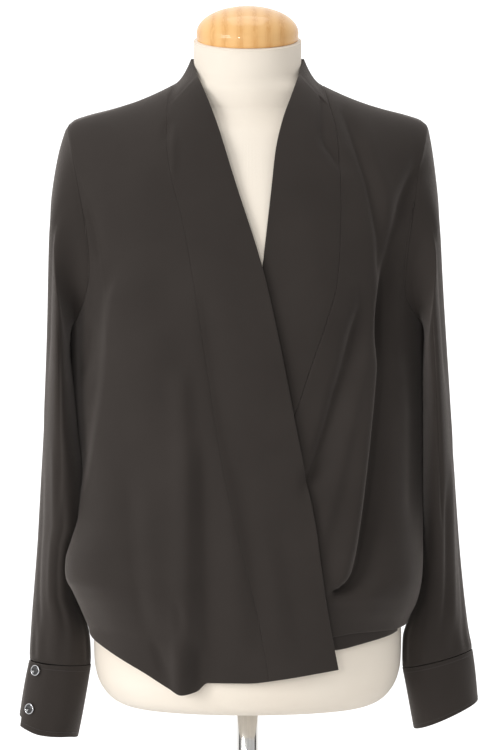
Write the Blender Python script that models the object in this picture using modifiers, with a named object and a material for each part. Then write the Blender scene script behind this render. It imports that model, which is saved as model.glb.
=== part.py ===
"""A long-sleeved wrap blouse with a shawl band, worn by a limbless dress form on a plain round stand.

The tables are in millimetres and the meshes in metres. +Z is up, the front looks along -Y, and +X is on
the left of the wearer. The origin is the middle of the underside of the base.
"""

import math

import bmesh
import bpy
import numpy as np
from mathutils import Matrix

MM = 0.001

# Cloth
CLOTH = 1.5  # wall of a single layer, with its seam allowances
BAND_CLOTH = 1.9  # the shawl band and the cuffs are double
SEAM_GAP = 0.45  # how far each piece stops short of a seam
UNDER_LAP = 5.9  # how far the wearer's left front lies inside the right one
UNDER_LAP_PAST_EDGE = 8.0  # it does so this far past the right front's edge,
UNDER_LAP_EASE = 60.0  # and comes out again over this width

# The blouse's trunk: half widths left and right of the middle as seen from the front, depths in
# front of and behind the side line, and where that side line lies
TRUNK_COLUMNS = ("height", "left", "right", "front", "back", "side_y")
TRUNK = (
    (340, 166, 164, 125, 122, 0),
    (372, 167, 165, 127, 123, 0),
    (396, 169, 167, 129, 123, 0),
    (410, 174, 171, 130, 123, -5),
    (424, 179, 177, 131, 122, -14),
    (438, 184, 180, 131, 121, -26),
    (452, 189, 182, 131, 119, -32),
    (472, 184, 184, 131, 116, -26),
    (495, 176, 185, 131, 112, -14),
    (520, 171, 186, 130, 109, -4),
    (545, 172, 186, 130, 107, 2),
    (590, 178, 186, 129, 106, 6),
    (650, 184, 187, 128, 108, 8),
    (700, 187, 187, 127, 110, 8),
    (745, 188, 188, 124, 111, 7),
    (770, 190, 190, 120, 110, 6),
    (815, 198, 198, 112, 107, 4),
    (860, 209, 209, 102, 103, 2),
    (900, 218, 218, 91, 97, 0),
    (930, 225, 225, 81, 90, 0),
    (960, 229, 229, 70, 78, 0),
    (990, 232, 232, 60, 66, 0),
)
QUARTER_ROUND = 230.0  # about the length of cloth from the middle of the front to a side seam
SQUARENESS = 2.3  # exponent of a trunk section: 2 is an ellipse
SIDE_REACH = 1.2  # how far round from the side line its place in Y is felt
SHOULDER_COLUMNS = ("out", "height")
SHOULDER = ((0, 1012), (60, 981), (75, 972), (108, 957), (140, 946.5), (172, 938), (184, 933.5), (192, 925))
SHOULDER_ROUND = 130.0  # height over which the cloth turns from the shoulder seam to the chest
SHOULDER_SQUARENESS = 3.0

# Armhole, from the underarm up to the shoulder tip. A bearing is 0 at the middle of the front,
# 1 at the side seam and 2 at the middle of the back. The rows are (bearing, height)
ARMHOLE = ((1.0, 712), (0.9, 715), (0.8, 722), (0.7, 738), (0.64, 765), (0.62, 800), (0.616, 840),
           (0.614, 885), (0.612, 929))

# The shawl band, as pairs of points on its seam and on its free edge
BAND_START = 79.0  # where the band's seam crosses the shoulder seam
BAND_COLUMNS = ("seam_x", "seam_z", "edge_x", "edge_z")
RIGHT_BAND = (
    (-79, 969.6, -63, 999),
    (-83, 941, -57.5, 978),
    (-83, 907, -46, 956),
    (-77, 864, -33, 925),
    (-67, 825, -13, 863),
    (-54, 755, 16, 770),
    (-41, 669, 32, 699),
    (-28, 588, 50, 608),
    (-8, 497, 68, 517),
    (12, 412, 81, 427),
    (22, 354, 93, 364),
)
LEFT_BAND = (
    (79, 969.6, 63, 999),
    (86, 941, 57.5, 979),
    (92, 915, 48, 955),
    (95, 880, 37, 928),
    (96, 845, 29, 895),
    (95, 800, 25, 858),
    (91, 755, 20, 811),
    (80, 715, 14, 760),
    (66, 672, 6, 715),
    (56, 640, -2, 680),
    (43, 608, -12, 640),
    (31, 560, -26, 585),
    (14, 500, -42, 520),
    (-2, 440, -56, 455),
    (-12, 398, -63, 405),
)
# Half of the band round the neck, from the middle of the back to the shoulder, on the +X side:
# seam x and height, then the edge's x, y and height
COLLAR = (
    (0, 968, 0, 63, 1002),
    (28, 968, 24, 58, 1003),
    (54, 970, 45, 44, 1003),
    (72, 971, 59, 23, 1002),
    (79, 969.6, 63, 0, 999),
)

# Hems, as (x, height)
RIGHT_HEM = ((-169, 397), (-157, 387), (-141, 378), (-109, 362), (-79, 345), (-66, 339), (-52, 343),
             (-41, 352), (2, 352), (22, 354))
LEFT_HEM = ((-12, 398), (40, 396), (89, 397), (114, 400), (158, 401), (167, 402))
HEM_BAND = ((60, 384), (94, 383), (104, 384), (119, 387), (160, 397))
HEM_BAND_INSIDE = 3.3
HEM_BAND_LAP = 9.0  # how far it reaches up inside the front

# Folds: the depth, outwards when positive, the widths left and right of the line as seen from the
# front, and the line itself, running down from its first point as (x, height)
FRONT_FOLDS = {
    "right_drape_edge": (7, 16, 34,
        ((-128, 760), (-134, 730), (-142, 646), (-155, 570), (-170, 515), (-183, 460))),
    "right_hem_ridge": (4.5, 15, 11, ((-66, 660), (-62, 560), (-62, 450), (-66, 340))),
    "right_hem_trough": (-4, 10, 16, ((-44, 590), (-42, 520), (-40, 430), (-38, 350))),
    "right_chest_crease": (-3, 9, 16,
        ((-44, 745), (-36, 680), (-22, 600), (-6, 530), (6, 470), (14, 400))),
    "right_bust_fold": (3, 26, 26, ((-108, 880), (-104, 800), (-96, 700), (-92, 600))),
    "left_bust_drape": (-7, 9, 18,
        ((112, 722), (104, 688), (93, 648), (80, 606), (68, 570), (58, 545))),
    "left_shoulder_pleat": (-6, 8, 12, ((80, 968), (76, 941), (77, 910), (88, 884), (100, 862))),
    "left_shoulder_fold": (-6, 10, 17,
        ((98, 945), (104, 912), (116, 881), (128, 838), (134, 790), (135, 740))),
    "left_deep_fold": (-12, 11, 27,
        ((135, 745), (133, 689), (128, 640), (122, 587), (114, 530), (106, 480), (102, 445))),
    "left_armhole_fold": (-5, 10, 11, ((156, 880), (145, 839), (134, 791), (129, 745), (129, 705))),
    "left_side_crease": (-3, 8, 10, ((172, 690), (174, 640), (174, 580), (172, 520))),
    "left_hem_swag": (5, 14, 16, ((112, 470), (118, 440), (124, 410))),
}
BACK_FOLDS = {
    "back_right_fold": (5, 22, 26, ((-96, 700), (-92, 600), (-98, 500), (-104, 410))),
    "back_left_fold": (4, 24, 20, ((104, 720), (98, 620), (92, 520), (96, 410))),
    "back_middle_fold": (-4, 26, 22, ((-18, 640), (-10, 540), (-14, 430), (-18, 392))),
}
FOLD_FADE = 38.0  # height over which a fold dies away at its ends

# Sleeves: the outer line's x and height, the inner line's x and height as seen from the front,
# the half depth and the middle in Y
RIGHT_SLEEVE = (
    (-199, 914, -190, 704, 66, 2),
    (-205, 882, -189.8, 695, 66, 3),
    (-208, 835, -189.4, 684, 67, 4),
    (-210, 780, -188.6, 671, 68, 6),
    (-211.5, 722, -187.2, 654, 69, 8),
    (-213.5, 668, -185, 632, 67, 9),
    (-216, 615, -182, 602, 63, 10),
    (-219, 563, -177.8, 557, 57, 12),
    (-222, 515, -180.5, 511, 50, 18),
    (-224.5, 476, -187, 473, 45, 22),
    (-227, 444, -190.5, 441, 44, 22),
    (-229, 415, -181, 411, 42, 16),
    (-230, 388, -171, 383, 39, 9),
    (-231, 362.5, -168, 357.5, 34.5, 4),
)
LEFT_SLEEVE = (
    (195, 914, 190, 704, 66, 2),
    (199, 882, 189.8, 695, 66, 3),
    (202, 835, 189.6, 684, 67, 4),
    (205, 780, 189.5, 671, 68, 6),
    (208.5, 722, 189.5, 654, 69, 8),
    (212, 668, 189.3, 632, 67, 9),
    (215.5, 615, 189, 602, 63, 10),
    (219.5, 563, 188.8, 557, 57, 12),
    (223, 515, 188.6, 511, 51, 16),
    (226, 476, 187.2, 473, 47, 18),
    (229, 444, 185.5, 441, 45, 17),
    (232, 415, 180.5, 411, 43, 13),
    (234.5, 392, 171.5, 383, 39, 8),
    (238, 374, 166.5, 354.5, 34.5, 3),
)
# Cuffs: the same columns, from the seam to the lower edge
RIGHT_CUFF = (
    (-231.5, 361.5, -167.5, 356.5, 34.5, 4),
    (-236.5, 336, -172.5, 320, 35, 4),
    (-242, 303, -181, 280, 35.5, 5),
)
LEFT_CUFF = (
    (238.5, 373, 167, 353.5, 34.5, 3),
    (241.5, 349, 172, 323, 35, 3),
    (244.5, 319, 178, 289, 35.5, 4),
)
CUFF_LAP_TURN = math.radians(26)  # how far the buttoned end lies over the other
CUFF_LAP_LIFT = 2.4
CUFF_LAP_RISE = (0.7, 0.55)  # it lifts this far before the lap, over this turn, in radians
ARMHOLE_GAP = 0.8  # how far the panels stop short of the armhole seam
SLEEVE_AT_TIP = 1.3  # how far the sleeve's edge stands out from the armhole
SLEEVE_AT_FRONT = 2.9
SLEEVE_AT_UNDERARM = 2.8
SLEEVE_IN_AT_FRONT = 0.3  # how far it lies inside the armhole's edge, in front and behind

# Buttons: how far round the cuff and how far down it, as shares
BUTTON_RADIUS, BUTTON_THICK = 5.7, 2.6
BUTTON_DOWN = (0.2, 0.78)
BUTTON_STAND_OFF = 0.7
BUTTON_PROFILE = ((0, 0.45), (0.62, 0.45), (0.78, 1), (0.95, 0.75), (1, 0), (0.8, -1), (0, -1))
BUTTON_AROUND = 16
RIGHT_BUTTON_TURN = math.radians(42)
LEFT_BUTTON_TURN = math.radians(-52)

# Dress form: the height of each ring, its half width, depth in front and behind, and forward tilt
FORM = (
    (313, 108, 72, 76, 0),
    (314.5, 124, 86, 90, 0),
    (320, 139, 99, 103, 0),
    (331, 151, 108, 113, 0),
    (345, 158.5, 114, 118, 0),
    (362, 162, 116, 120, 0),
    (388, 162.8, 116, 118, 0),
    (420, 160, 113, 113, 0),
    (460, 150, 106, 104, 0),
    (510, 134, 98, 90, 0),
    (560, 122, 93, 80, 0),
    (600, 119, 93, 79, 0),
    (650, 127, 100, 86, 0),
    (700, 139, 110, 94, 0),
    (750, 148, 115, 98, 0),
    (800, 153, 108, 97, 0),
    (850, 160, 96, 92, 0),
    (890, 169, 82, 84, 0),
    (915, 173.5, 71, 75, 0),
    (928, 168, 58, 60, 0),
    (937, 154, 50, 52, 0),
    (942.5, 132, 47, 47, 0),
    (952, 103, 47, 47, 0),
    (962, 83, 50, 50, 0),
    (973, 64, 51, 52, 3),
    (985, 57, 53.5, 54.5, 9),
    (1018, 57, 57, 57, 17),
)
FORM_AROUND = 28
CAP_RADIUS = 54.0
CAP_FOOT_RADIUS = 53.2
CAP_SIDE = 8.0
CAP_HEIGHT = 35.4
CAP_AROUND = 28
CAP_STEPS = 5
TOUCH = 0.3  # gap where one hard piece stands on another

POLE_RADIUS = 11.4
POLE_AROUND = 20
BASE_HEIGHT = 18.0
# The base from the top of its boss to the middle of its underside, as (radius, height)
BASE_PROFILE = ((0, BASE_HEIGHT), (22, BASE_HEIGHT), (27, 12), (144, 9), (149, 7), (150, 4),
                (150, 0), (0, 0))
BASE_AROUND = 40

# Fineness of the cloth
ARMHOLE_STEPS = 9
SHOULDER_STEPS = 8
NECK_STEPS = 5
DOWN_STEPS = 19
CROWDING = 1.6  # the rows lie closer together over the shoulder than at the hem
END_FALL = 3  # how fast a net forgets the bow of its end line
ACROSS_BAND = 4
SLEEVE_STEPS = 20
SLEEVE_BLEND_STEPS = 3
TIP_ROUNDS = 16  # rounds in which the armhole's tip settles on the shoulder line
CUFF_AROUND = 20
CUFF_STEPS = 3
HEM_BAND_STEPS = 12

CLOTH_COLOUR = (0.045, 0.037, 0.032, 1)
FORM_COLOUR = (0.85, 0.76, 0.65, 1)
WOOD_COLOUR = (0.78, 0.46, 0.17, 1)
CHROME_COLOUR = (0.75, 0.75, 0.75, 1)
BASE_COLOUR = (0.55, 0.55, 0.55, 1)
BUTTON_COLOUR = (0.012, 0.011, 0.01, 1)


def clear_scene():
    for thing in list(bpy.data.objects):
        bpy.data.objects.remove(thing, do_unlink=True)


def make_material(name, colour, roughness, metallic=0.0):
    material = bpy.data.materials.new(name)
    material.use_nodes = True
    shader = material.node_tree.nodes["Principled BSDF"]
    shader.inputs["Base Color"].default_value = colour
    shader.inputs["Roughness"].default_value = roughness
    shader.inputs["Metallic"].default_value = metallic
    return material


def column(table, columns, name):
    """One named column of a table, as an array."""
    return np.array([row[columns.index(name)] for row in table], float)


def curve_through(stations, values, at):
    """A smooth curve through a table's rows that never overshoots them, held level past its ends."""
    stations, values = np.asarray(stations, float), np.asarray(values, float)
    steps = np.diff(stations)
    rises = np.diff(values) / steps
    slopes = np.zeros_like(values)
    slopes[0], slopes[-1] = rises[0], rises[-1]
    before, after = rises[:-1], rises[1:]
    weight_1, weight_2 = 2 * steps[1:] + steps[:-1], steps[1:] + 2 * steps[:-1]
    same_way = before * after > 0
    safe_before, safe_after = np.where(same_way, before, 1), np.where(same_way, after, 1)
    mean = (weight_1 + weight_2) / (weight_1 / safe_before + weight_2 / safe_after)
    slopes[1:-1] = np.where(same_way, mean, 0)
    at = np.clip(np.asarray(at, float), stations[0], stations[-1])
    i = np.clip(np.searchsorted(stations, at) - 1, 0, len(steps) - 1)
    t = (at - stations[i]) / steps[i]
    return (
        values[i] * (1 + 2 * t) * (1 - t) ** 2
        + values[i + 1] * t**2 * (3 - 2 * t)
        + steps[i] * (slopes[i] * t * (1 - t) ** 2 - slopes[i + 1] * t**2 * (1 - t))
    )


def trunk_size(name, height):
    return curve_through(column(TRUNK, TRUNK_COLUMNS, "height"), column(TRUNK, TRUNK_COLUMNS, name), height)


def half_width(side, height):
    """The trunk's half width on the side of x's sign."""
    return np.where(side < 0, trunk_size("left", height), trunk_size("right", height))


def shoulder_height(x):
    return curve_through(column(SHOULDER, SHOULDER_COLUMNS, "out"),
                         column(SHOULDER, SHOULDER_COLUMNS, "height"), np.abs(x))


def bearing_of(x, height):
    """The bearing at which the front of the trunk has this x."""
    share = np.clip(np.abs(x) / half_width(x, height), 0, 1) ** (SQUARENESS / 2)
    return np.sign(x) * np.arcsin(share) * 2 / math.pi


def smooth_step(value):
    value = np.clip(value, 0, 1)
    return value * value * (3 - 2 * value)


def fold_depth(folds, x, height):
    """How far all the folds of one side move the cloth outwards at x and height."""
    moved = np.zeros_like(x)
    for depth, left_width, right_width, line in folds.values():
        line_x = np.array([point[0] for point in line], float)[::-1]
        line_z = np.array([point[1] for point in line], float)[::-1]
        aside = x - curve_through(line_z, line_x, height)
        width = np.where(aside < 0, left_width, right_width)
        from_bottom = smooth_step((height - line_z[0] + FOLD_FADE / 2) / FOLD_FADE)
        from_top = smooth_step((line_z[-1] - height + FOLD_FADE / 2) / FOLD_FADE)
        moved += depth * from_bottom * from_top * np.exp(-((aside / width) ** 2))
    return moved


def trunk(bearing, height, inset=0.0):
    """Points of the blouse's trunk: squarish ovals that close over the shoulders, with folds."""
    bearing, height = np.broadcast_arrays(np.asarray(bearing, float), np.asarray(height, float))
    angle = bearing * math.pi / 2
    wide = half_width(np.sin(angle), height) - inset
    behind = np.cos(angle) < 0
    deep = np.where(behind, trunk_size("back", height), trunk_size("front", height)) - inset
    power = 2 / SQUARENESS
    across = np.sign(np.sin(angle)) * np.abs(np.sin(angle)) ** power
    along = np.abs(np.cos(angle)) ** power
    x = wide * across
    below = np.clip((shoulder_height(x) - height) / SHOULDER_ROUND, 0, 1)
    over = (1 - (1 - below) ** SHOULDER_SQUARENESS) ** (1 / SHOULDER_SQUARENESS)
    side_y = trunk_size("side_y", height)
    side_y = side_y * np.clip(SIDE_REACH - along, 0, 1)
    y = side_y + np.where(behind, 1, -1) * deep * along * over
    normal_x = np.sign(across) * np.abs(across) ** (SQUARENESS - 1) / wide
    normal_y = np.where(behind, 1, -1) * along ** (SQUARENESS - 1) / deep
    length = np.hypot(normal_x, normal_y) + 1e-9
    moved = np.where(behind, fold_depth(BACK_FOLDS, x, height), fold_depth(FRONT_FOLDS, x, height)) * over
    return np.stack([x + moved * normal_x / length, y + moved * normal_y / length, height], axis=-1)


def coons(top, bottom, start, end):
    """A net of (bearing, height) pairs between four border lines; start and end run down from the top."""
    top, bottom, start, end = (np.asarray(line, float) for line in (top, bottom, start, end))
    end_share = np.linspace(0, 1, len(top))[None, :, None] ** END_FALL
    down = np.linspace(0, 1, len(start))[:, None]
    start_bow = start - ((1 - down) * top[0] + down * bottom[0])
    end_bow = end - ((1 - down) * top[-1] + down * bottom[-1])
    ruled = (1 - down[:, None]) * top + down[:, None] * bottom
    return ruled + (1 - end_share) * start_bow[:, None] + end_share * end_bow[:, None]


def resample(line, count, power=1.0):
    """The same polyline with evenly spaced points, or points that crowd to its start."""
    line = np.asarray(line, float)
    lengths = np.linalg.norm(np.diff(line, axis=0), axis=1)
    run = np.concatenate([[0], np.cumsum(lengths)])
    at = np.linspace(0, 1, count) ** power * run[-1]
    return np.stack([curve_through(run, line[:, i], at) for i in range(line.shape[1])], axis=1)


def trim(net, borders):
    """The net with the named borders drawn back from their seams."""
    net = net.copy()
    for border in borders:
        view = {"top": net, "bottom": net[::-1], "start": net.transpose(1, 0, 2),
                "end": net.transpose(1, 0, 2)[::-1]}[border]
        step = view[1] - view[0]
        view[0] += SEAM_GAP * step / np.linalg.norm(step, axis=1, keepdims=True)
    return net


def mesh_of_net(name, net, closed=False):
    """A mesh from a net of points; closed joins the last column to the first."""
    rows, columns = net.shape[:2]
    index = np.arange(rows * columns).reshape(rows, columns)
    if closed:
        index = np.concatenate([index, index[:, :1]], axis=1)
    quads = np.stack([index[:-1, :-1], index[1:, :-1], index[1:, 1:], index[:-1, 1:]], axis=-1)
    mesh = bpy.data.meshes.new(name)
    mesh.from_pydata((net.reshape(-1, 3) * MM).tolist(), [], quads.reshape(-1, 4).tolist())
    mesh.shade_smooth()
    return mesh


def add_object(name, mesh, material, collection):
    made = bpy.data.objects.new(name, mesh)
    mesh.materials.append(material)
    collection.objects.link(made)
    return made


def add_cloth(name, net, thick, material, collection, closed=False):
    """A cloth wall of even thickness round the net."""
    made = add_object(name, mesh_of_net(name, net, closed), material, collection)
    wall = made.modifiers.new("Wall", "SOLIDIFY")
    wall.thickness = thick * MM
    wall.offset = 0
    return made


def at_x(points):
    """(x, height) pairs as (bearing, height) pairs on the front."""
    points = np.asarray(points, float)
    return np.stack([bearing_of(points[:, 0], points[:, 1]), points[:, 1]], axis=1)


def to_back(pairs):
    """The same pairs carried round to the back, counted on through the middle of the back from -X."""
    return np.stack([-2 - pairs[:, 0], pairs[:, 1]], axis=1)


def armhole_line(side, gap=0.0):
    """(bearing, height) up the front half of an armhole, from the underarm to the shoulder tip."""
    rows = resample(np.array(ARMHOLE, float) * (QUARTER_ROUND, 1), ARMHOLE_STEPS + 1)
    for _ in range(TIP_ROUNDS):
        rows[-1, 1] = shoulder_height(trunk(rows[-1, 0] / QUARTER_ROUND, rows[-1, 1])[0])
    rows[1:-1, 0] -= gap
    return rows / (QUARTER_ROUND, 1) * (side, 1)


def shoulder_line(side):
    """(bearing, height) along the shoulder seam, from the tip to the band."""
    tip = armhole_line(1)[-1]
    tip_x = trunk(tip[0], tip[1])[0]
    x = np.linspace(tip_x, BAND_START, SHOULDER_STEPS + 1)
    pairs = at_x(np.stack([x, shoulder_height(x)], axis=1))
    pairs[0] = tip
    return pairs * (side, 1)


def shoulder_border(side):
    """The upper border of a front: up the armhole and along the shoulder seam."""
    return np.concatenate([armhole_line(side, ARMHOLE_GAP), shoulder_line(side)[1:]])


def band_rows(table):
    """The band's (seam x, seam z, edge x, edge z) down the front, as the panel beside it is sampled."""
    return resample(table, DOWN_STEPS + 1, CROWDING)


def under_lap(x, height):
    """How far the wearer's left front is drawn in: wholly under the right front, less and less past it."""
    edge_z = column(RIGHT_BAND, BAND_COLUMNS, "edge_z")[::-1]
    edge_x = column(RIGHT_BAND, BAND_COLUMNS, "edge_x")[::-1]
    clear = x - curve_through(edge_z, edge_x, height) - UNDER_LAP_PAST_EDGE
    return UNDER_LAP * (1 - smooth_step(clear / UNDER_LAP_EASE))


def laid(pairs, under):
    """The trunk's points at (bearing, height) pairs, drawn in where they lie under the right front."""
    outside = trunk(pairs[..., 0], pairs[..., 1])
    if not under:
        return outside
    return trunk(pairs[..., 0], pairs[..., 1], under_lap(outside[..., 0], pairs[..., 1]))


def front_net(side, table, hem, under):
    """A front between the armhole, the shoulder, the band's seam, the hem and the side seam."""
    top = shoulder_border(side)
    end = at_x(band_rows(table)[:, :2])
    hem = at_x(hem)
    hem = hem if side < 0 else hem[::-1]
    hem[0, 0] = side
    bottom = resample(hem * (QUARTER_ROUND, 1), len(top)) / (QUARTER_ROUND, 1)
    start = resample([(side, top[0, 1]), (side, bottom[0, 1])], len(end), CROWDING)
    end[0], end[-1] = top[-1], bottom[-1]
    net = laid(coons(top, bottom, start, end), under)
    return trim(net, ("top", "start", "end"))


def back_net():
    """The back between both side seams, from the shoulders and the neck down to the hem."""
    left, right = (shoulder_border(side) for side in (-1, 1))
    neck = collar_rows()[::-1]
    seam = at_x(neck[:, :2])
    seam[0, 0], seam[0, 1] = right[-1]
    half = to_back(seam * (-1, 1))
    other = to_back(seam[::-1])
    top = np.concatenate([to_back(left), half[1:], other[1:], to_back(right)[::-1][1:]])
    bottom = np.linspace((-1, RIGHT_HEM[0][1]), (-3, LEFT_HEM[-1][1]), len(top))
    start, end = (resample([top[i], bottom[i]], DOWN_STEPS + 1, CROWDING) for i in (0, -1))
    return trim(laid(coons(top, bottom, start, end), False), ("top", "start", "end"))


def collar_rows():
    """The band's (seam x, seam z, edge x, edge y, edge z) from the middle of the back to the shoulder."""
    return resample(COLLAR, NECK_STEPS + 1)


def band_net(side, table, under):
    """The band from the middle of the back, round the neck and down the front to the hem.

    Its edge leaves the neck in a straight line before it lies on the trunk.
    """
    across = np.linspace(0, 1, ACROSS_BAND + 1)[:, None]
    rows = []
    for seam_x, seam_z, edge_x, edge_y, edge_z in collar_rows()[:-1]:
        seam = trunk(2 - bearing_of(np.array(seam_x), seam_z), seam_z) * (side, 1, 1)
        rows.append(seam + (np.array((side * edge_x, edge_y, edge_z)) - seam) * across)
    neck_edge = np.array((side * COLLAR[-1][2], COLLAR[-1][3], COLLAR[-1][4]), float)
    turn_x, turn_z = table[1][2:]
    turn_edge = laid(at_x([(turn_x, turn_z)]), under)[0]
    for seam_x, seam_z, edge_x, edge_z in band_rows(table):
        pairs = at_x(np.array((seam_x, seam_z)) + (edge_x - seam_x, edge_z - seam_z) * across)
        row = laid(pairs, under)
        if edge_z > turn_z:
            edge = neck_edge + (turn_edge - neck_edge) * (neck_edge[2] - edge_z) / (neck_edge[2] - turn_z)
            row = row[0] + (edge - row[0]) * across
        rows.append(row)
    return trim(np.array(rows), ("top", "start"))


def hem_band_net():
    """The turned-up hem that hangs below the wearer's left front, from its lower edge up inside it."""
    line = resample(HEM_BAND, HEM_BAND_STEPS + 1)
    hem_z = curve_through(*np.array(LEFT_HEM, float).T, line[:, 0])
    tall = hem_z + HEM_BAND_LAP - line[:, 1]
    rows = [np.stack([line[:, 0], line[:, 1] + tall * share], axis=1) for share in (1, 0.5, 0)]
    pairs = np.array([at_x(row) for row in rows])
    outside = trunk(pairs[..., 0], pairs[..., 1])
    inset = HEM_BAND_INSIDE + under_lap(outside[..., 0], pairs[..., 1])
    return trunk(pairs[..., 0], pairs[..., 1], inset)


def tube_rings(table, count, turns):
    """Rings of a sleeve or cuff at the given turns, counted from its outer line."""
    rows = resample(np.array(table, float), count)
    outer_x, outer_z, inner_x, inner_z, half_depth, middle_y = (rows[:, i, None] for i in range(6))
    share = (1 + np.cos(turns)) / 2
    x = inner_x + (outer_x - inner_x) * share
    z = inner_z + (outer_z - inner_z) * share
    return np.stack([x, middle_y - half_depth * np.sin(turns), z], axis=-1)


def sleeve_net(side, table):
    """A sleeve from the armhole's loop, eased over a few rings into the sleeve's own tube."""
    front = armhole_line(side)[::-1]
    loop = np.concatenate([front, to_back(front)[-2:0:-1]])
    turns = np.arange(len(loop)) * 2 * math.pi / len(loop)
    armhole = trunk(loop[:, 0], loop[:, 1])
    out = np.where(np.cos(turns) > 0, SLEEVE_AT_TIP, SLEEVE_AT_UNDERARM) - SLEEVE_AT_FRONT
    out = SLEEVE_AT_FRONT + out * np.cos(turns) ** 2
    inwards = -np.sign(armhole[:, 1]) * SLEEVE_IN_AT_FRONT * np.sin(turns) ** 2
    armhole = armhole + np.stack([side * out, inwards, 0 * out], axis=1)
    net = tube_rings(table, SLEEVE_STEPS, turns)
    net = np.concatenate([armhole[None], net])
    for i in range(1, SLEEVE_BLEND_STEPS):
        share = smooth_step(i / SLEEVE_BLEND_STEPS)
        net[i] = armhole * (1 - share) + net[i] * share
    return net if side < 0 else net[:, ::-1]


def cuff_net(side, table, button_turn):
    """A cuff as one strip, whose end lies over its beginning under the buttons, mirrored on the left."""
    run = np.linspace(0, CUFF_LAP_TURN + 2 * math.pi, CUFF_AROUND + 3)
    turns = button_turn + side * (run - CUFF_LAP_TURN / 2)
    net = tube_rings(table, CUFF_STEPS + 1, turns)
    middle = net[:, :-2].mean(axis=1, keepdims=True)
    away = net - middle
    away /= np.linalg.norm(away, axis=2, keepdims=True)
    before, over = CUFF_LAP_RISE
    lift = CUFF_LAP_LIFT * smooth_step((run - 2 * math.pi + before) / over)
    return (net + away * lift[None, :, None])[:, ::-1]


def turned(name, profile, around, material, collection):
    """A solid turned from a profile of (radius, height) that runs down its outer side."""
    mesh = bpy.data.meshes.new(name)
    points = [(radius * MM, 0, height * MM) for radius, height in profile]
    mesh.from_pydata(points, [(i, i + 1) for i in range(len(points) - 1)], [])
    made = add_object(name, mesh, material, collection)
    screw = made.modifiers.new("Turn", "SCREW")
    screw.steps = screw.render_steps = around
    screw.use_merge_vertices = True
    screw.merge_threshold = 0.00002
    screw.use_smooth_shade = True
    return made


def add_button(name, net, down, material, collection):
    """A button that stands on the lap of a cuff, facing straight out."""
    line = net[:, 1]
    place = line[0] + (line[-1] - line[0]) * down
    centre = net[0].mean(axis=0) + (net[-1].mean(axis=0) - net[0].mean(axis=0)) * down
    along = line[-1] - line[0]
    along /= np.linalg.norm(along)
    out = place - centre
    out -= along * out.dot(along)
    out /= np.linalg.norm(out)
    half = BUTTON_THICK / 2
    profile = [(BUTTON_RADIUS * radius, half * height) for radius, height in BUTTON_PROFILE]
    made = turned(name, profile, BUTTON_AROUND, material, collection)
    sideways = np.cross(along, out)
    place = (place + out * (BAND_CLOTH / 2 + half + BUTTON_STAND_OFF)) * MM
    rows = [[sideways[i], along[i], out[i], place[i]] for i in range(3)] + [[0, 0, 0, 1]]
    made.matrix_world = Matrix(rows)
    return made


def form_mesh():
    turns = np.arange(FORM_AROUND) * 2 * math.pi / FORM_AROUND
    points = []
    for height, half, front, back, tilt in FORM:
        deep = np.where(np.cos(turns) > 0, front, back)
        y = -deep * np.cos(turns)
        z = height + y * math.tan(math.radians(tilt))
        points.append(np.stack([half * np.sin(turns), y, z], axis=1))
    mesh = mesh_of_net("dress_form", np.array(points)[::-1], closed=True)
    shape = bmesh.new()
    shape.from_mesh(mesh)
    bmesh.ops.holes_fill(shape, edges=shape.edges)
    bmesh.ops.recalc_face_normals(shape, faces=shape.faces)
    shape.to_mesh(mesh)
    shape.free()
    return mesh


def add_dress_form(materials, collection):
    form = add_object("dress_form", form_mesh(), materials["form"], collection)
    top = FORM[-1]
    tilt = math.radians(top[-1])
    dome = [(CAP_RADIUS * math.sin(a), CAP_SIDE + (CAP_HEIGHT - CAP_SIDE) * math.cos(a))
            for a in (math.pi / 2 * i / CAP_STEPS for i in range(CAP_STEPS + 1))]
    profile = dome + [(CAP_FOOT_RADIUS, 0), (0, 0)]
    cap = turned("neck_cap", profile, CAP_AROUND, materials["wood"], collection)
    cap.location = (0, 0, (top[0] + TOUCH / math.cos(tilt)) * MM)
    cap.rotation_euler = (tilt, 0, 0)
    turned("base", BASE_PROFILE, BASE_AROUND, materials["base"], collection)
    foot, head = BASE_HEIGHT + TOUCH, FORM[0][0] - TOUCH
    turned("pole", [(0, head), (POLE_RADIUS, head), (POLE_RADIUS, foot), (0, foot)], POLE_AROUND,
           materials["chrome"], collection)
    return form


def add_blouse(materials, collection):
    cloth = materials["cloth"]
    add_cloth("right_front", front_net(-1, RIGHT_BAND, RIGHT_HEM, False), CLOTH, cloth, collection)
    add_cloth("left_front", front_net(1, LEFT_BAND, LEFT_HEM, True), CLOTH, cloth, collection)
    add_cloth("back", back_net(), CLOTH, cloth, collection)
    add_cloth("right_band", band_net(-1, RIGHT_BAND, False), BAND_CLOTH, cloth, collection)
    add_cloth("left_band", band_net(1, LEFT_BAND, True), BAND_CLOTH, cloth, collection)
    add_cloth("left_hem_band", hem_band_net(), CLOTH, cloth, collection)
    arms = (("right", -1, RIGHT_SLEEVE, RIGHT_CUFF, RIGHT_BUTTON_TURN),
            ("left", 1, LEFT_SLEEVE, LEFT_CUFF, LEFT_BUTTON_TURN))
    for name, side, sleeve, cuff, button_turn in arms:
        add_cloth(f"{name}_sleeve", sleeve_net(side, sleeve), CLOTH, cloth, collection, closed=True)
        net = cuff_net(side, cuff, button_turn)
        add_cloth(f"{name}_cuff", net, BAND_CLOTH, cloth, collection)
        for number, down in enumerate(BUTTON_DOWN, 1):
            add_button(f"{name}_button_{number}", net, down, materials["button"], collection)


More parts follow.
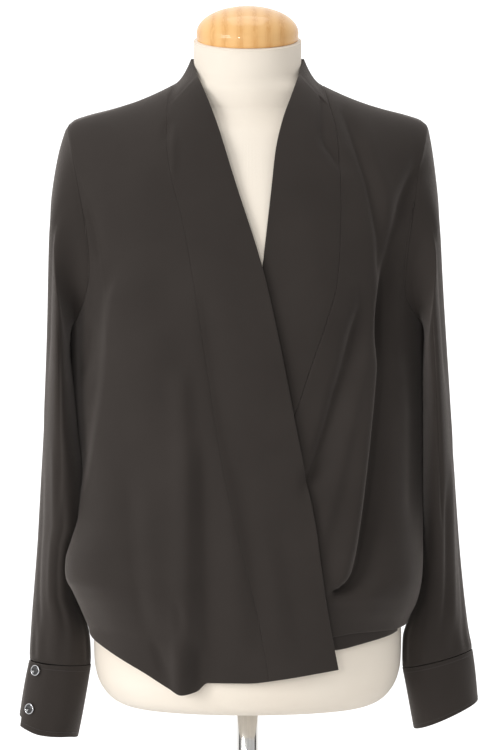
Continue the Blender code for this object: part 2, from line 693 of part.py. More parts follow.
def main():
    clear_scene()
    collection = bpy.data.collections.new("blouse_on_dress_form")
    bpy.context.scene.collection.children.link(collection)
    materials = {
        "cloth": make_material("cloth", CLOTH_COLOUR, 0.75),
        "form": make_material("form_jersey", FORM_COLOUR, 0.8),
        "wood": make_material("varnished_wood", WOOD_COLOUR, 0.3),
        "chrome": make_material("chrome", CHROME_COLOUR, 0.12, 1.0),
        "base": make_material("base_steel", BASE_COLOUR, 0.35, 0.9),
        "button": make_material("button", BUTTON_COLOUR, 0.25),
    }
    add_dress_form(materials, collection)
    add_blouse(materials, collection)


main()
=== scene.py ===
"""The looks of a long-sleeved wrap blouse with a shawl band, worn by a limbless dress form on a pole.

Sizes are in millimetres and become metres where a mesh is made. +Z is up, the blouse faces -Y and +X is
on the left of the wearer. The cloth pieces are nets of points worked out over a shared trunk surface.
"""

from __future__ import annotations

import logging
import math
from dataclasses import dataclass, field
from enum import Enum

import bpy
import numpy as np
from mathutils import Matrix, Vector


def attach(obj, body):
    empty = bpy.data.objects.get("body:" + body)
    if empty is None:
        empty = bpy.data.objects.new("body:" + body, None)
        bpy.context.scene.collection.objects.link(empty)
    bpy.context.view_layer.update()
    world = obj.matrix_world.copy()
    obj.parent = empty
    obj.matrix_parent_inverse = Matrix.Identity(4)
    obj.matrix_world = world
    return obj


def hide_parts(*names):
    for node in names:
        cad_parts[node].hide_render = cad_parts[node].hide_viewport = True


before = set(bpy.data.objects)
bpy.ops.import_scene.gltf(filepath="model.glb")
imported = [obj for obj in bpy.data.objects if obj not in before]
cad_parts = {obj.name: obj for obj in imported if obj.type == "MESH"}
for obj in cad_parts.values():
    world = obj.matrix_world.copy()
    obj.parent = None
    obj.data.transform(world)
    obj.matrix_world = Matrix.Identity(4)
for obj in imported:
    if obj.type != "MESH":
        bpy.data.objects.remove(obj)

LOG = logging.getLogger("blouse")
MM = 0.001
ROLL_TURNS = (0.45, 0.95, math.pi / 2)
ROLL_CLEAR = 1.3

Net = np.ndarray
Rows = tuple[tuple[float, ...], ...]


class Side(Enum):
    """A side of the wearer, with the sign of its X."""

    RIGHT = -1
    LEFT = 1


class Border(Enum):
    """An edge of a net: its first and last row, and its first and last column."""

    TOP = "top"
    BOTTOM = "bottom"
    START = "start"
    END = "end"


# Curves and nets


def curve_through(stations: np.ndarray, values: np.ndarray, at: np.ndarray) -> np.ndarray:
    """A smooth curve through rows of a table that never overshoots them, held level past its ends.

    The slope at a row is the weighted harmonic mean of the slopes beside it, or 0 at a turn, and the
    curve between two rows is the cubic that has both values and both slopes.

    Args:
        stations: rising places of the rows.
        values: what the curve has there.
        at: the places asked for, of any shape.

    Returns:
        The curve's values, shaped as at.
    """
    stations, values = np.asarray(stations, float), np.asarray(values, float)
    steps = np.diff(stations)
    rises = np.diff(values) / steps
    slopes = np.zeros_like(values)
    slopes[0], slopes[-1] = rises[0], rises[-1]
    before, after = rises[:-1], rises[1:]
    weight_1, weight_2 = 2 * steps[1:] + steps[:-1], steps[1:] + 2 * steps[:-1]
    same_way = before * after > 0
    safe_before, safe_after = np.where(same_way, before, 1), np.where(same_way, after, 1)
    mean = (weight_1 + weight_2) / (weight_1 / safe_before + weight_2 / safe_after)
    slopes[1:-1] = np.where(same_way, mean, 0)
    at = np.clip(np.asarray(at, float), stations[0], stations[-1])
    i = np.clip(np.searchsorted(stations, at) - 1, 0, len(steps) - 1)
    t = (at - stations[i]) / steps[i]
    return (
        values[i] * (1 + 2 * t) * (1 - t) ** 2
        + values[i + 1] * t**2 * (3 - 2 * t)
        + steps[i] * (slopes[i] * t * (1 - t) ** 2 - slopes[i + 1] * t**2 * (1 - t))
    )


def smooth_step(value: np.ndarray | float) -> np.ndarray:
    """3t^2 - 2t^3 of the value held between 0 and 1."""
    value = np.clip(value, 0, 1)
    return value * value * (3 - 2 * value)


def resample(line: Rows | np.ndarray, count: int, power: float = 1.0) -> np.ndarray:
    """Points along a polyline at even steps of its length, or crowded to its start.

    Args:
        line: the rows of the polyline.
        count: how many points.
        power: 1 for even steps; above 1 they crowd to the start.

    Returns:
        count rows with the line's columns.
    """
    line = np.asarray(line, float)
    lengths = np.linalg.norm(np.diff(line, axis=0), axis=1)
    run = np.concatenate([[0], np.cumsum(lengths)])
    at = np.linspace(0, 1, count) ** power * run[-1]
    return np.stack([curve_through(run, line[:, i], at) for i in range(line.shape[1])], axis=1)


def coons(top: Net, bottom: Net, start: Net, end: Net, end_fall: float = 3.0) -> Net:
    """A net of (bearing, height) pairs between four border lines.

    Straight columns join the top to the bottom. To them it adds how far the start and the end line bow
    from a straight one, in shares that add up to 1 and follow the end_fall-th power of the way across.

    Args:
        top, bottom: border rows from the start to the end.
        start, end: border columns running down.
        end_fall: how fast the net forgets the bow of its end line.

    Returns:
        The net, rows by columns by 2.
    """
    top, bottom, start, end = (np.asarray(line, float) for line in (top, bottom, start, end))
    end_share = np.linspace(0, 1, len(top))[None, :, None] ** end_fall
    down = np.linspace(0, 1, len(start))[:, None]
    start_bow = start - ((1 - down) * top[0] + down * bottom[0])
    end_bow = end - ((1 - down) * top[-1] + down * bottom[-1])
    ruled = (1 - down[:, None]) * top + down[:, None] * bottom
    return ruled + (1 - end_share) * start_bow[:, None] + end_share * end_bow[:, None]


def outward_normals(net: Net, centre: Net) -> Net:
    """Unit normals of a net of points, turned away from its centre.

    The normal is the cross product of the differences along the rows and along the columns.

    Args:
        net: rows by columns by 3.
        centre: a point, or points that broadcast with the net.

    Returns:
        Normals of the net's shape.
    """
    down = np.gradient(net, axis=0)
    along = np.gradient(net, axis=1)
    normal = np.cross(along, down)
    normal /= np.linalg.norm(normal, axis=2, keepdims=True) + 1e-9
    way = np.sign((normal * (net - centre)).sum(axis=2, keepdims=True))
    return normal * np.where(way == 0, 1, way)


def turn_in(net: Net, inward: Net, borders: dict[Border, float], deep: float = 2.2) -> Net:
    """The net with its edge turned under along some borders, as a folded or sewn edge is.

    The border is drawn back by the roll's radius. Three more rows then roll through a quarter turn: they
    go on in the net's own direction by the sine of the turn and inwards by one minus its cosine. The
    last row goes straight in, and rows that the roll would run over are left out.

    Args:
        net: rows by columns by 3.
        inward: unit vectors into the garment, of the net's shape.
        borders: which borders, and the radius of each one's roll.
        deep: how far the last row goes in, in radii.

    Returns:
        The larger net.
    """
    for border, radius in borders.items():
        swap = border in (Border.START, Border.END)
        back = border in (Border.BOTTOM, Border.END)
        body = net.transpose(1, 0, 2) if swap else net
        into = inward.transpose(1, 0, 2) if swap else inward
        body, into = (body[::-1], into[::-1]) if back else (body, into)
        step = body[0] - body[1]
        step /= np.linalg.norm(step, axis=1, keepdims=True) + 1e-9
        rolled = [body[0] - step * radius]
        for turn in ROLL_TURNS:
            on, under = radius * (1 - math.sin(turn)), radius * (1 - math.cos(turn))
            rolled.append(body[0] - step * on + into[0] * under)
        rolled.append(rolled[-1] + into[0] * radius * (deep - 1))
        kept = np.linalg.norm(body - body[0], axis=2).min(axis=1) > radius * ROLL_CLEAR
        kept[: np.argmax(kept)] = False
        extra = np.array(rolled[::-1])
        body = np.concatenate([extra, body[kept]])
        into = np.concatenate([np.repeat(into[:1], len(extra), axis=0), into[kept]])
        body, into = (body[::-1], into[::-1]) if back else (body, into)
        net = body.transpose(1, 0, 2) if swap else body
        inward = into.transpose(1, 0, 2) if swap else into
    return net


def mesh_of_net(
    name: str, net: Net, closed: bool = False, poles: tuple[bool, bool] = (False, False)
) -> bpy.types.Mesh:
    """A mesh of quads over a net, with a UV map in metres of cloth.

    Args:
        name: the mesh's name.
        net: rows by columns by 3, in millimetres.
        closed: the last column joins the first one.
        poles: closes the first and the last row with a face.

    Returns:
        The mesh, facing out where the rows run down and the columns run anticlockwise from above.
    """
    rows, columns = net.shape[:2]
    index = np.arange(rows * columns).reshape(rows, columns)
    wide = np.concatenate([index, index[:, :1]], axis=1) if closed else index
    quads = np.stack([wide[:-1, :-1], wide[1:, :-1], wide[1:, 1:], wide[:-1, 1:]], axis=-1).reshape(-1, 4)
    faces = quads.tolist()
    if poles[0]:
        faces.append(index[0].tolist())
    if poles[1]:
        faces.append(index[-1][::-1].tolist())
    mesh = bpy.data.meshes.new(name)
    mesh.from_pydata((net.reshape(-1, 3) * MM).tolist(), [], faces)
    looped = np.concatenate([net, net[:, :1]], axis=1) if closed else net
    across = np.linalg.norm(np.diff(looped, axis=1), axis=2).mean(axis=0)
    down = np.linalg.norm(np.diff(net, axis=0), axis=2).mean(axis=1)
    u = np.concatenate([[0], np.cumsum(across)]) * MM
    v = np.concatenate([[0], np.cumsum(down)]) * MM
    corner_u = np.stack([u[:-1], u[:-1], u[1:], u[1:]], axis=-1)[None].repeat(rows - 1, axis=0)
    corner_v = np.stack([v[:-1], v[1:], v[1:], v[:-1]], axis=-1)[:, None].repeat(len(across), axis=1)
    uv = np.zeros((len(mesh.loops), 2), np.float32)
    uv[: quads.size] = np.stack([corner_u, corner_v], axis=-1).reshape(-1, 2)
    mesh.uv_layers.new(name="cloth").data.foreach_set("uv", uv.ravel())
    mesh.shade_smooth()
    return mesh


def tell(made: bpy.types.Object) -> None:
    """Logs a finished piece's name and how many faces its base mesh has."""
    LOG.info("%s: %d faces", made.name, len(made.data.polygons))


def place(
    name: str, mesh: bpy.types.Mesh, material: bpy.types.Material, slot: str, *nodes: str
) -> bpy.types.Object:
    """Puts a finished mesh into the scene as a piece that rides on the root body.

    Args:
        name: the piece's name.
        mesh: its mesh, with its place in it.
        material: its finish.
        slot: a material slot's name; not used.
        nodes: the CAD nodes that it stands for.

    Returns:
        The object.
    """
    made = bpy.data.objects.new(name, mesh)
    bpy.context.scene.collection.objects.link(made)
    mesh.materials.append(material)
    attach(made, "root")
    if nodes:
        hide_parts(*nodes)
    tell(made)
    return made


def wall(made: bpy.types.Object, thick: float, offset: float) -> None:
    """Gives an open piece an even wall.

    Args:
        made: the piece.
        thick: the wall's thickness in millimetres.
        offset: 1 or -1, for the side of the surface on which the wall lies.
    """
    solid = made.modifiers.new("Wall", "SOLIDIFY")
    solid.thickness = thick * MM
    solid.offset = offset


# Finishes


class Graph:
    """A new material's nodes, with short ways to add and join them."""

    def __init__(self, name: str) -> None:
        """Makes the material, with its shader and object coordinates at hand.

        Args:
            name: the material's name.
        """
        self.material = bpy.data.materials.new(name)
        self.material.use_nodes = True
        self.tree = self.material.node_tree
        self.shader = self.tree.nodes["Principled BSDF"]
        self.place = self.node("ShaderNodeTexCoord")

    def node(
        self, kind: str, joins: dict[str, bpy.types.NodeSocket] | None = None, **values: object
    ) -> bpy.types.Node:
        """Adds a node.

        Args:
            kind: Blender's name for the node type.
            joins: input names and the sockets that feed them.
            values: input values by name with underscores for blanks, or settings of the node itself.

        Returns:
            The node.
        """
        made = self.tree.nodes.new(kind)
        for key, value in values.items():
            socket = made.inputs.get(key.replace("_", " "))
            if hasattr(made, key):
                setattr(made, key, value)
            elif socket is not None:
                socket.default_value = value
        for key, source in (joins or {}).items():
            self.tree.links.new(source, made.inputs[key])
        return made

    def set(self, **values: object) -> None:
        """Sets the shader's own sockets, named with underscores for blanks."""
        for key, value in values.items():
            self.shader.inputs[key.replace("_", " ")].default_value = value

    def join(self, source: bpy.types.NodeSocket, socket: str) -> None:
        """Feeds one of the shader's sockets."""
        self.tree.links.new(source, self.shader.inputs[socket])

    def ramp(
        self, source: bpy.types.NodeSocket, *stops: tuple[float, tuple[float, ...]]
    ) -> bpy.types.NodeSocket:
        """A colour ramp over a value.

        Args:
            source: the socket that gives the value.
            stops: (place, colour) pairs.

        Returns:
            The ramp's colour socket.
        """
        made = self.node("ShaderNodeValToRGB", {"Fac": source})
        ramp = made.color_ramp
        while len(ramp.elements) < len(stops):
            ramp.elements.new(0.5)
        for element, (at, colour) in zip(ramp.elements, stops):
            element.position = at
            element.color = (*colour, 1)
        return made.outputs["Color"]

    def crossed_waves(
        self, where: bpy.types.NodeSocket, along_x: float, along_y: float, bend: float
    ) -> bpy.types.NodeSocket:
        """Waves across X times waves across Y, as threads or stitches cross.

        Args:
            where: the coordinates.
            along_x: the scale of the waves across X.
            along_y: the scale of the waves across Y.
            bend: how unevenly both run.

        Returns:
            The product's socket.
        """
        waves = [
            self.node(
                "ShaderNodeTexWave", {"Vector": where}, bands_direction=way, Scale=scale, Distortion=bend
            )
            for way, scale in (("X", along_x), ("Y", along_y))
        ]
        joins = {number: wave.outputs["Fac"] for number, wave in enumerate(waves)}
        return self.node("ShaderNodeMath", joins, operation="MULTIPLY").outputs[0]

    def gloss(self, source: bpy.types.NodeSocket, least: float, most: float) -> None:
        """Lets the roughness run from least to most with a value from 0 to 1."""
        share = self.node("ShaderNodeMapRange", {"Value": source}, To_Min=least, To_Max=most)
        self.join(share.outputs["Result"], "Roughness")

    def bump(self, *layers: tuple[bpy.types.NodeSocket, float]) -> None:
        """Feeds the shader's normal from bumps laid on one another.

        Args:
            layers: (height, distance in metres) pairs.
        """
        under = None
        for height, distance in layers:
            made = self.node("ShaderNodeBump", {"Height": height}, Distance=distance)
            if under is not None:
                self.tree.links.new(under, made.inputs["Normal"])
            under = made.outputs["Normal"]
        self.join(under, "Normal")


@dataclass(frozen=True)
class CrepeFinish:
    """Fine matt crepe: a pebbled weave, slight unevenness of the dye, and a soft sheen at grazing angles."""

    name: str = "black_crepe"
    dark: tuple[float, float, float] = (0.027, 0.0218, 0.0188)
    light: tuple[float, float, float] = (0.034, 0.0278, 0.0242)
    roughness: float = 0.74
    sheen: float = 0.22

    def material(self) -> bpy.types.Material:
        """Makes the material.

        Two crossed waves of thread under a fine noise give the weave.

        Returns:
            The crepe.
        """
        g = Graph(self.name)
        where = g.place.outputs["Object"]
        shade = g.node("ShaderNodeTexNoise", {"Vector": where}, Scale=9.0, Detail=3.0, Roughness=0.55)
        g.join(g.ramp(shade.outputs["Fac"], (0.3, self.dark), (0.72, self.light)), "Base Color")
        pebble = g.node("ShaderNodeTexNoise", {"Vector": where}, Scale=1500.0, Detail=2.0, Roughness=0.6)
        weave = g.crossed_waves(g.place.outputs["UV"], 420.0, 420.0, 2.0)
        g.bump((weave, 0.00006), (pebble.outputs["Fac"], 0.00016))
        g.gloss(pebble.outputs["Fac"], self.roughness - 0.08, self.roughness + 0.1)
        g.set(Sheen_Weight=self.sheen, Sheen_Roughness=0.45, Sheen_Tint=(1.0, 0.9, 0.84, 1))
        g.set(Specular_IOR_Level=0.14)
        return g.material


@dataclass(frozen=True)
class ThreadFinish:
    """Sewing thread in the cloth's colour, slightly glossier, twisted."""

    name: str = "black_thread"
    dark: tuple[float, float, float] = (0.02, 0.017, 0.016)
    light: tuple[float, float, float] = (0.034, 0.029, 0.027)

    def material(self) -> bpy.types.Material:
        """Makes the material.

        A fine noise gives the thread's lustre its grain.

        Returns:
            The sewing thread.
        """
        g = Graph(self.name)
        twist = g.node("ShaderNodeTexNoise", {"Vector": g.place.outputs["Object"]}, Scale=2500.0, Detail=1.0)
        g.join(g.ramp(twist.outputs["Fac"], (0.3, self.dark), (0.7, self.light)), "Base Color")
        g.bump((twist.outputs["Fac"], 0.00005))
        g.set(Roughness=0.5, Sheen_Weight=0.2)
        return g.material


@dataclass(frozen=True)
class JerseyFinish:
    """Cream cotton jersey drawn tight over the bust: fine knitted wales and a soft, even tone."""

    name: str = "cream_jersey"
    shade: tuple[float, float, float] = (0.84, 0.745, 0.63)
    light: tuple[float, float, float] = (0.9, 0.82, 0.71)

    def material(self) -> bpy.types.Material:
        """Makes the material.

        Wales run down the piece's map, a little over a millimetre apart.

        Returns:
            The form's jersey.
        """
        g = Graph(self.name)
        where = g.place.outputs["Object"]
        tone = g.node("ShaderNodeTexNoise", {"Vector": where}, Scale=6.0, Detail=3.0, Roughness=0.5)
        g.join(g.ramp(tone.outputs["Fac"], (0.3, self.shade), (0.7, self.light)), "Base Color")
        knit = g.crossed_waves(g.place.outputs["UV"], 270.0, 340.0, 1.2)
        fuzz = g.node("ShaderNodeTexNoise", {"Vector": where}, Scale=1100.0, Detail=2.0)
        g.bump((knit, 0.00009), (fuzz.outputs["Fac"], 0.00008))
        g.set(Roughness=0.82, Sheen_Weight=0.15, Sheen_Roughness=0.5, Specular_IOR_Level=0.25)
        return g.material


@dataclass(frozen=True)
class PineFinish:
    """Honey-coloured pine under thick gloss varnish, its grain standing upright."""

    name: str = "varnished_pine"
    early: tuple[float, float, float] = (0.84, 0.5, 0.2)
    late: tuple[float, float, float] = (0.7, 0.36, 0.115)

    def material(self) -> bpy.types.Material:
        """Makes the material.

        Bands across X, bent by a noise that is stretched along the grain.

        Returns:
            The cap's varnished wood.
        """
        g = Graph(self.name)
        stretch = g.node("ShaderNodeMapping", {"Vector": g.place.outputs["Object"]}, Scale=(1.0, 0.5, 0.07))
        grain = g.node(
            "ShaderNodeTexWave",
            {"Vector": stretch.outputs["Vector"]},
            bands_direction="X",
            wave_profile="SIN",
            Scale=21.0,
            Distortion=3.2,
            Detail=2.0,
            Detail_Scale=1.4,
        )
        fibre = g.node("ShaderNodeTexNoise", {"Vector": stretch.outputs["Vector"]}, Scale=620.0, Detail=3.0)
        factors = {0: grain.outputs["Fac"], 1: fibre.outputs["Fac"]}
        both = g.node("ShaderNodeMath", factors, operation="MULTIPLY")
        middle = tuple((a * 2 + b) / 3 for a, b in zip(self.early, self.late))
        g.join(g.ramp(both.outputs[0], (0.0, self.early), (0.3, middle), (0.62, self.late)), "Base Color")
        g.bump((fibre.outputs["Fac"], 0.00003))
        g.set(Roughness=0.45, Coat_Weight=0.45, Coat_Roughness=0.05, Coat_IOR=1.45, Specular_IOR_Level=0.3)
        return g.material


@dataclass(frozen=True)
class ChromeFinish:
    """Polished chrome with faint upright polishing marks."""

    name: str = "pole_chrome"
    dark: tuple[float, float, float] = (0.6, 0.59, 0.57)
    light: tuple[float, float, float] = (0.8, 0.79, 0.77)

    def material(self) -> bpy.types.Material:
        """Makes the material.

        Smears along the pole vary its gloss.

        Returns:
            The pole's chrome.
        """
        g = Graph(self.name)
        drawn = g.node("ShaderNodeMapping", {"Vector": g.place.outputs["Object"]}, Scale=(1.0, 1.0, 0.03))
        smear = g.node("ShaderNodeTexNoise", {"Vector": drawn.outputs["Vector"]}, Scale=900.0, Detail=2.0)
        g.gloss(smear.outputs["Fac"], 0.06, 0.2)
        g.join(g.ramp(smear.outputs["Fac"], (0.2, self.dark), (0.8, self.light)), "Base Color")
        g.set(Metallic=1.0)
        return g.material


@dataclass(frozen=True)
class SteelFinish:
    """Satin steel turned on a lathe, with fine rings about the pole."""

    name: str = "base_satin_steel"
    dark: tuple[float, float, float] = (0.52, 0.52, 0.53)
    light: tuple[float, float, float] = (0.62, 0.62, 0.62)

    def material(self) -> bpy.types.Material:
        """Makes the material.

        Rings about the Z axis vary its gloss and relief.

        Returns:
            The base's steel.
        """
        g = Graph(self.name)
        rings = g.node(
            "ShaderNodeTexWave",
            {"Vector": g.place.outputs["Object"]},
            wave_type="RINGS",
            rings_direction="Z",
            Scale=260.0,
            Distortion=0.6,
            Detail=2.0,
        )
        cloud = g.node("ShaderNodeTexNoise", {"Vector": g.place.outputs["Object"]}, Scale=30.0, Detail=3.0)
        g.gloss(cloud.outputs["Fac"], 0.26, 0.42)
        g.join(g.ramp(cloud.outputs["Fac"], (0.3, self.dark), (0.7, self.light)), "Base Color")
        g.bump((rings.outputs["Fac"], 0.00002))
        g.set(Metallic=1.0)
        return g.material


@dataclass(frozen=True)
class ButtonFinish:
    """Black polished button resin, faintly marbled."""

    name: str = "button_black"
    dark: tuple[float, float, float] = (0.008, 0.008, 0.009)
    light: tuple[float, float, float] = (0.03, 0.028, 0.028)

    def material(self) -> bpy.types.Material:
        """Makes the material.

        A noise marbles the black.

        Returns:
            The buttons' resin.
        """
        g = Graph(self.name)
        marble = g.node("ShaderNodeTexNoise", {"Vector": g.place.outputs["Object"]}, Scale=260.0, Detail=3.0)
        g.join(g.ramp(marble.outputs["Fac"], (0.35, self.dark), (0.7, self.light)), "Base Color")
        g.set(Roughness=0.18, Coat_Weight=0.6, Coat_Roughness=0.05)
        return g.material


@dataclass(frozen=True)
class RimHighlightFinish:
    """Bright metal on a button's rim, a painted highlight round the dark glossy button's edge."""

    name: str = "button_rim"
    dark: tuple[float, float, float] = (0.62, 0.62, 0.64)
    light: tuple[float, float, float] = (0.78, 0.78, 0.8)

    def material(self) -> bpy.types.Material:
        """Makes the material.

        A fine noise scratches the metal.

        Returns:
            The rims' metal, a painted highlight.
        """
        g = Graph(self.name)
        where = {"Vector": g.place.outputs["Object"]}
        scratch = g.node("ShaderNodeTexNoise", where, Scale=1400.0, Detail=2.0)
        g.join(g.ramp(scratch.outputs["Fac"], (0.3, self.dark), (0.7, self.light)), "Base Color")
        g.set(Metallic=1.0, Roughness=0.22)
        return g.material


@dataclass(frozen=True)
class FloorFinish:
    """Pale matt floor paint, very slightly clouded."""

    name: str = "floor_paint"
    dark: tuple[float, float, float] = (0.86, 0.86, 0.86)
    light: tuple[float, float, float] = (0.9, 0.9, 0.9)

    def material(self) -> bpy.types.Material:
        """Makes the material.

        A broad noise clouds the paint.

        Returns:
            The floor's paint.
        """
        g = Graph(self.name)
        cloud = g.node("ShaderNodeTexNoise", {"Vector": g.place.outputs["Object"]}, Scale=3.0, Detail=3.0)
        g.join(g.ramp(cloud.outputs["Fac"], (0.3, self.dark), (0.7, self.light)), "Base Color")
        g.set(Roughness=0.7)
        return g.material


# The blouse


@dataclass(frozen=True)
class Fold:
    """A soft ridge or trough along a line that runs down a front or the back.

    depth is outwards in millimetres and negative in a trough. left and right are its widths towards -X
    and +X of the line, whose points are (x, height) from the top down. power shapes its section. fade is
    the height over which its ends die away, which top_fade can change for the upper one.
    """

    depth: float
    left: float
    right: float
    line: Rows
    fade: float = 38.0
    power: float = 2.0
    top_fade: float = 0.0

    def at(self, x: np.ndarray, height: np.ndarray) -> np.ndarray:
        """How far it moves the cloth: depth times e to the minus power of the distance in widths.

        Args:
            x: places across.
            height: heights, of the same shape.

        Returns:
            Millimetres outwards.
        """
        line = np.array(self.line, float)[::-1]
        aside = x - curve_through(line[:, 1], line[:, 0], height)
        share = np.abs(aside) / np.where(aside < 0, self.left, self.right)
        from_bottom = smooth_step((height - line[0, 1] + self.fade / 2) / self.fade)
        top_fade = self.top_fade or self.fade
        from_top = smooth_step((line[-1, 1] - height + top_fade / 2) / top_fade)
        return self.depth * from_bottom * from_top * np.exp(-(share**self.power))


FRONT_FOLDS = (
    Fold(7.5, 11, 34, ((-128, 760), (-134, 730), (-142, 646), (-155, 570), (-170, 515), (-183, 460))),
    Fold(5, 13, 9, ((-66, 660), (-62, 560), (-62, 450), (-66, 340))),
    Fold(-5, 9, 14, ((-44, 590), (-42, 520), (-40, 430), (-38, 350))),
    Fold(-3, 9, 16, ((-44, 745), (-36, 680), (-22, 600), (-6, 530), (6, 470), (14, 400))),
    Fold(3, 26, 26, ((-108, 880), (-104, 800), (-96, 700), (-92, 600))),
    Fold(-2.2, 5, 9, ((-163, 836), (-158, 812), (-152, 786)), 22),
    Fold(-2.4, 6, 10, ((-160, 716), (-163, 690), (-167, 662)), 26),
    Fold(-2.6, 5, 7, ((-95, 392), (-91, 378), (-86, 362)), 20),
    Fold(-2.2, 4, 6, ((-70, 432), (-68, 420), (-68, 406)), 18),
    Fold(4.5, 9, 8, ((-70, 392), (-68, 366), (-67, 340)), 26),
    Fold(-4, 6, 8, ((-50, 388), (-50, 366), (-50, 348)), 24),
    Fold(2.4, 15, 12, ((-20, 560), (-14, 500), (-10, 430), (-8, 380))),
    Fold(-2.4, 12, 15, ((34, 500), (42, 460), (50, 420), (54, 390)), 46),
    Fold(-1.6, 8, 11, ((-122, 560), (-118, 500), (-110, 440), (-104, 400)), 50),
    Fold(1.8, 12, 12, ((-104, 540), (-100, 480), (-92, 420)), 50),
    Fold(1.4, 3.2, 4.2, ((-76, 913), (-76, 890), (-76, 868)), 24),
    Fold(-1.8, 5, 6, ((-82, 925), (-83, 914), (-84, 902)), 14),
    Fold(
        -9, 7, 15,
        ((117, 734), (108, 704), (99, 671), (90, 641), (82, 611), (71, 577), (59, 549)), 38, 1.7, 70,
    ),
    Fold(3, 11, 7, ((127, 716), (118, 670), (109, 630), (99, 590), (88, 545), (76, 500)), 46),
    Fold(
        -4.2, 4.6, 9,
        ((78, 975), (77, 950), (77.5, 912), (80, 900), (88, 888), (96, 874)), 24, 1.7, 16,
    ),
    Fold(1, 8, 10, ((90, 962), (89, 936), (92, 910), (103, 886)), 30),
    Fold(
        -5.5, 5.2, 12,
        ((99, 935), (106, 916), (116, 885), (124, 860), (131, 825), (135, 800), (137, 765)), 40, 1.7, 50,
    ),
    Fold(2, 9, 9, ((122, 924), (128, 894), (140, 858), (148, 820)), 44),
    Fold(
        -8, 8.5, 10,
        ((176, 880), (160, 838), (151, 797), (145, 756), (142.5, 715), (141, 690)), 50, 1.8, 60,
    ),
    Fold(2.5, 8, 9, ((186, 870), (173, 838), (164, 797), (158, 756), (154, 716)), 34),
    Fold(
        -16, 6.5, 22,
        (
            (145, 756), (142.5, 709), (140, 667), (137, 635), (133, 590), (127, 540), (120, 492), (113, 462),
            (105, 451), (95, 445), (89, 442),
        ),
        8, 1.6, 80,
    ),
    Fold(4, 12, 7, ((132, 690), (128, 640), (122, 590), (114, 540), (104, 490), (97, 466)), 40),
    Fold(-3, 8, 10, ((172, 690), (174, 640), (174, 580), (172, 520))),
    Fold(3, 14, 16, ((124, 450), (128, 430), (130, 410)), 30),
    Fold(2, 14, 18, ((154, 640), (152, 580), (150, 520), (146, 460))),
)
BACK_FOLDS = (
    Fold(5, 22, 26, ((-96, 700), (-92, 600), (-98, 500), (-104, 410))),
    Fold(4, 24, 20, ((104, 720), (98, 620), (92, 520), (96, 410))),
    Fold(-4, 26, 22, ((-18, 640), (-10, 540), (-14, 430), (-18, 392))),
    Fold(-3, 9, 14, ((-150, 800), (-134, 740), (-122, 670), (-118, 600)), 60),
    Fold(-3, 14, 9, ((152, 800), (136, 735), (124, 660), (120, 590)), 60),
    Fold(2.6, 10, 12, ((34, 610), (38, 540), (34, 470), (36, 410)), 50),
    Fold(-2.6, 8, 10, ((66, 560), (64, 500), (62, 440), (66, 402)), 44),
    Fold(-2.8, 10, 8, ((-60, 580), (-62, 510), (-58, 450), (-62, 402)), 44),
    Fold(-2, 10, 10, ((-140, 600), (-142, 530), (-138, 460), (-136, 410)), 44),
    Fold(2, 10, 12, ((140, 620), (144, 550), (140, 480), (138, 410)), 44),
)


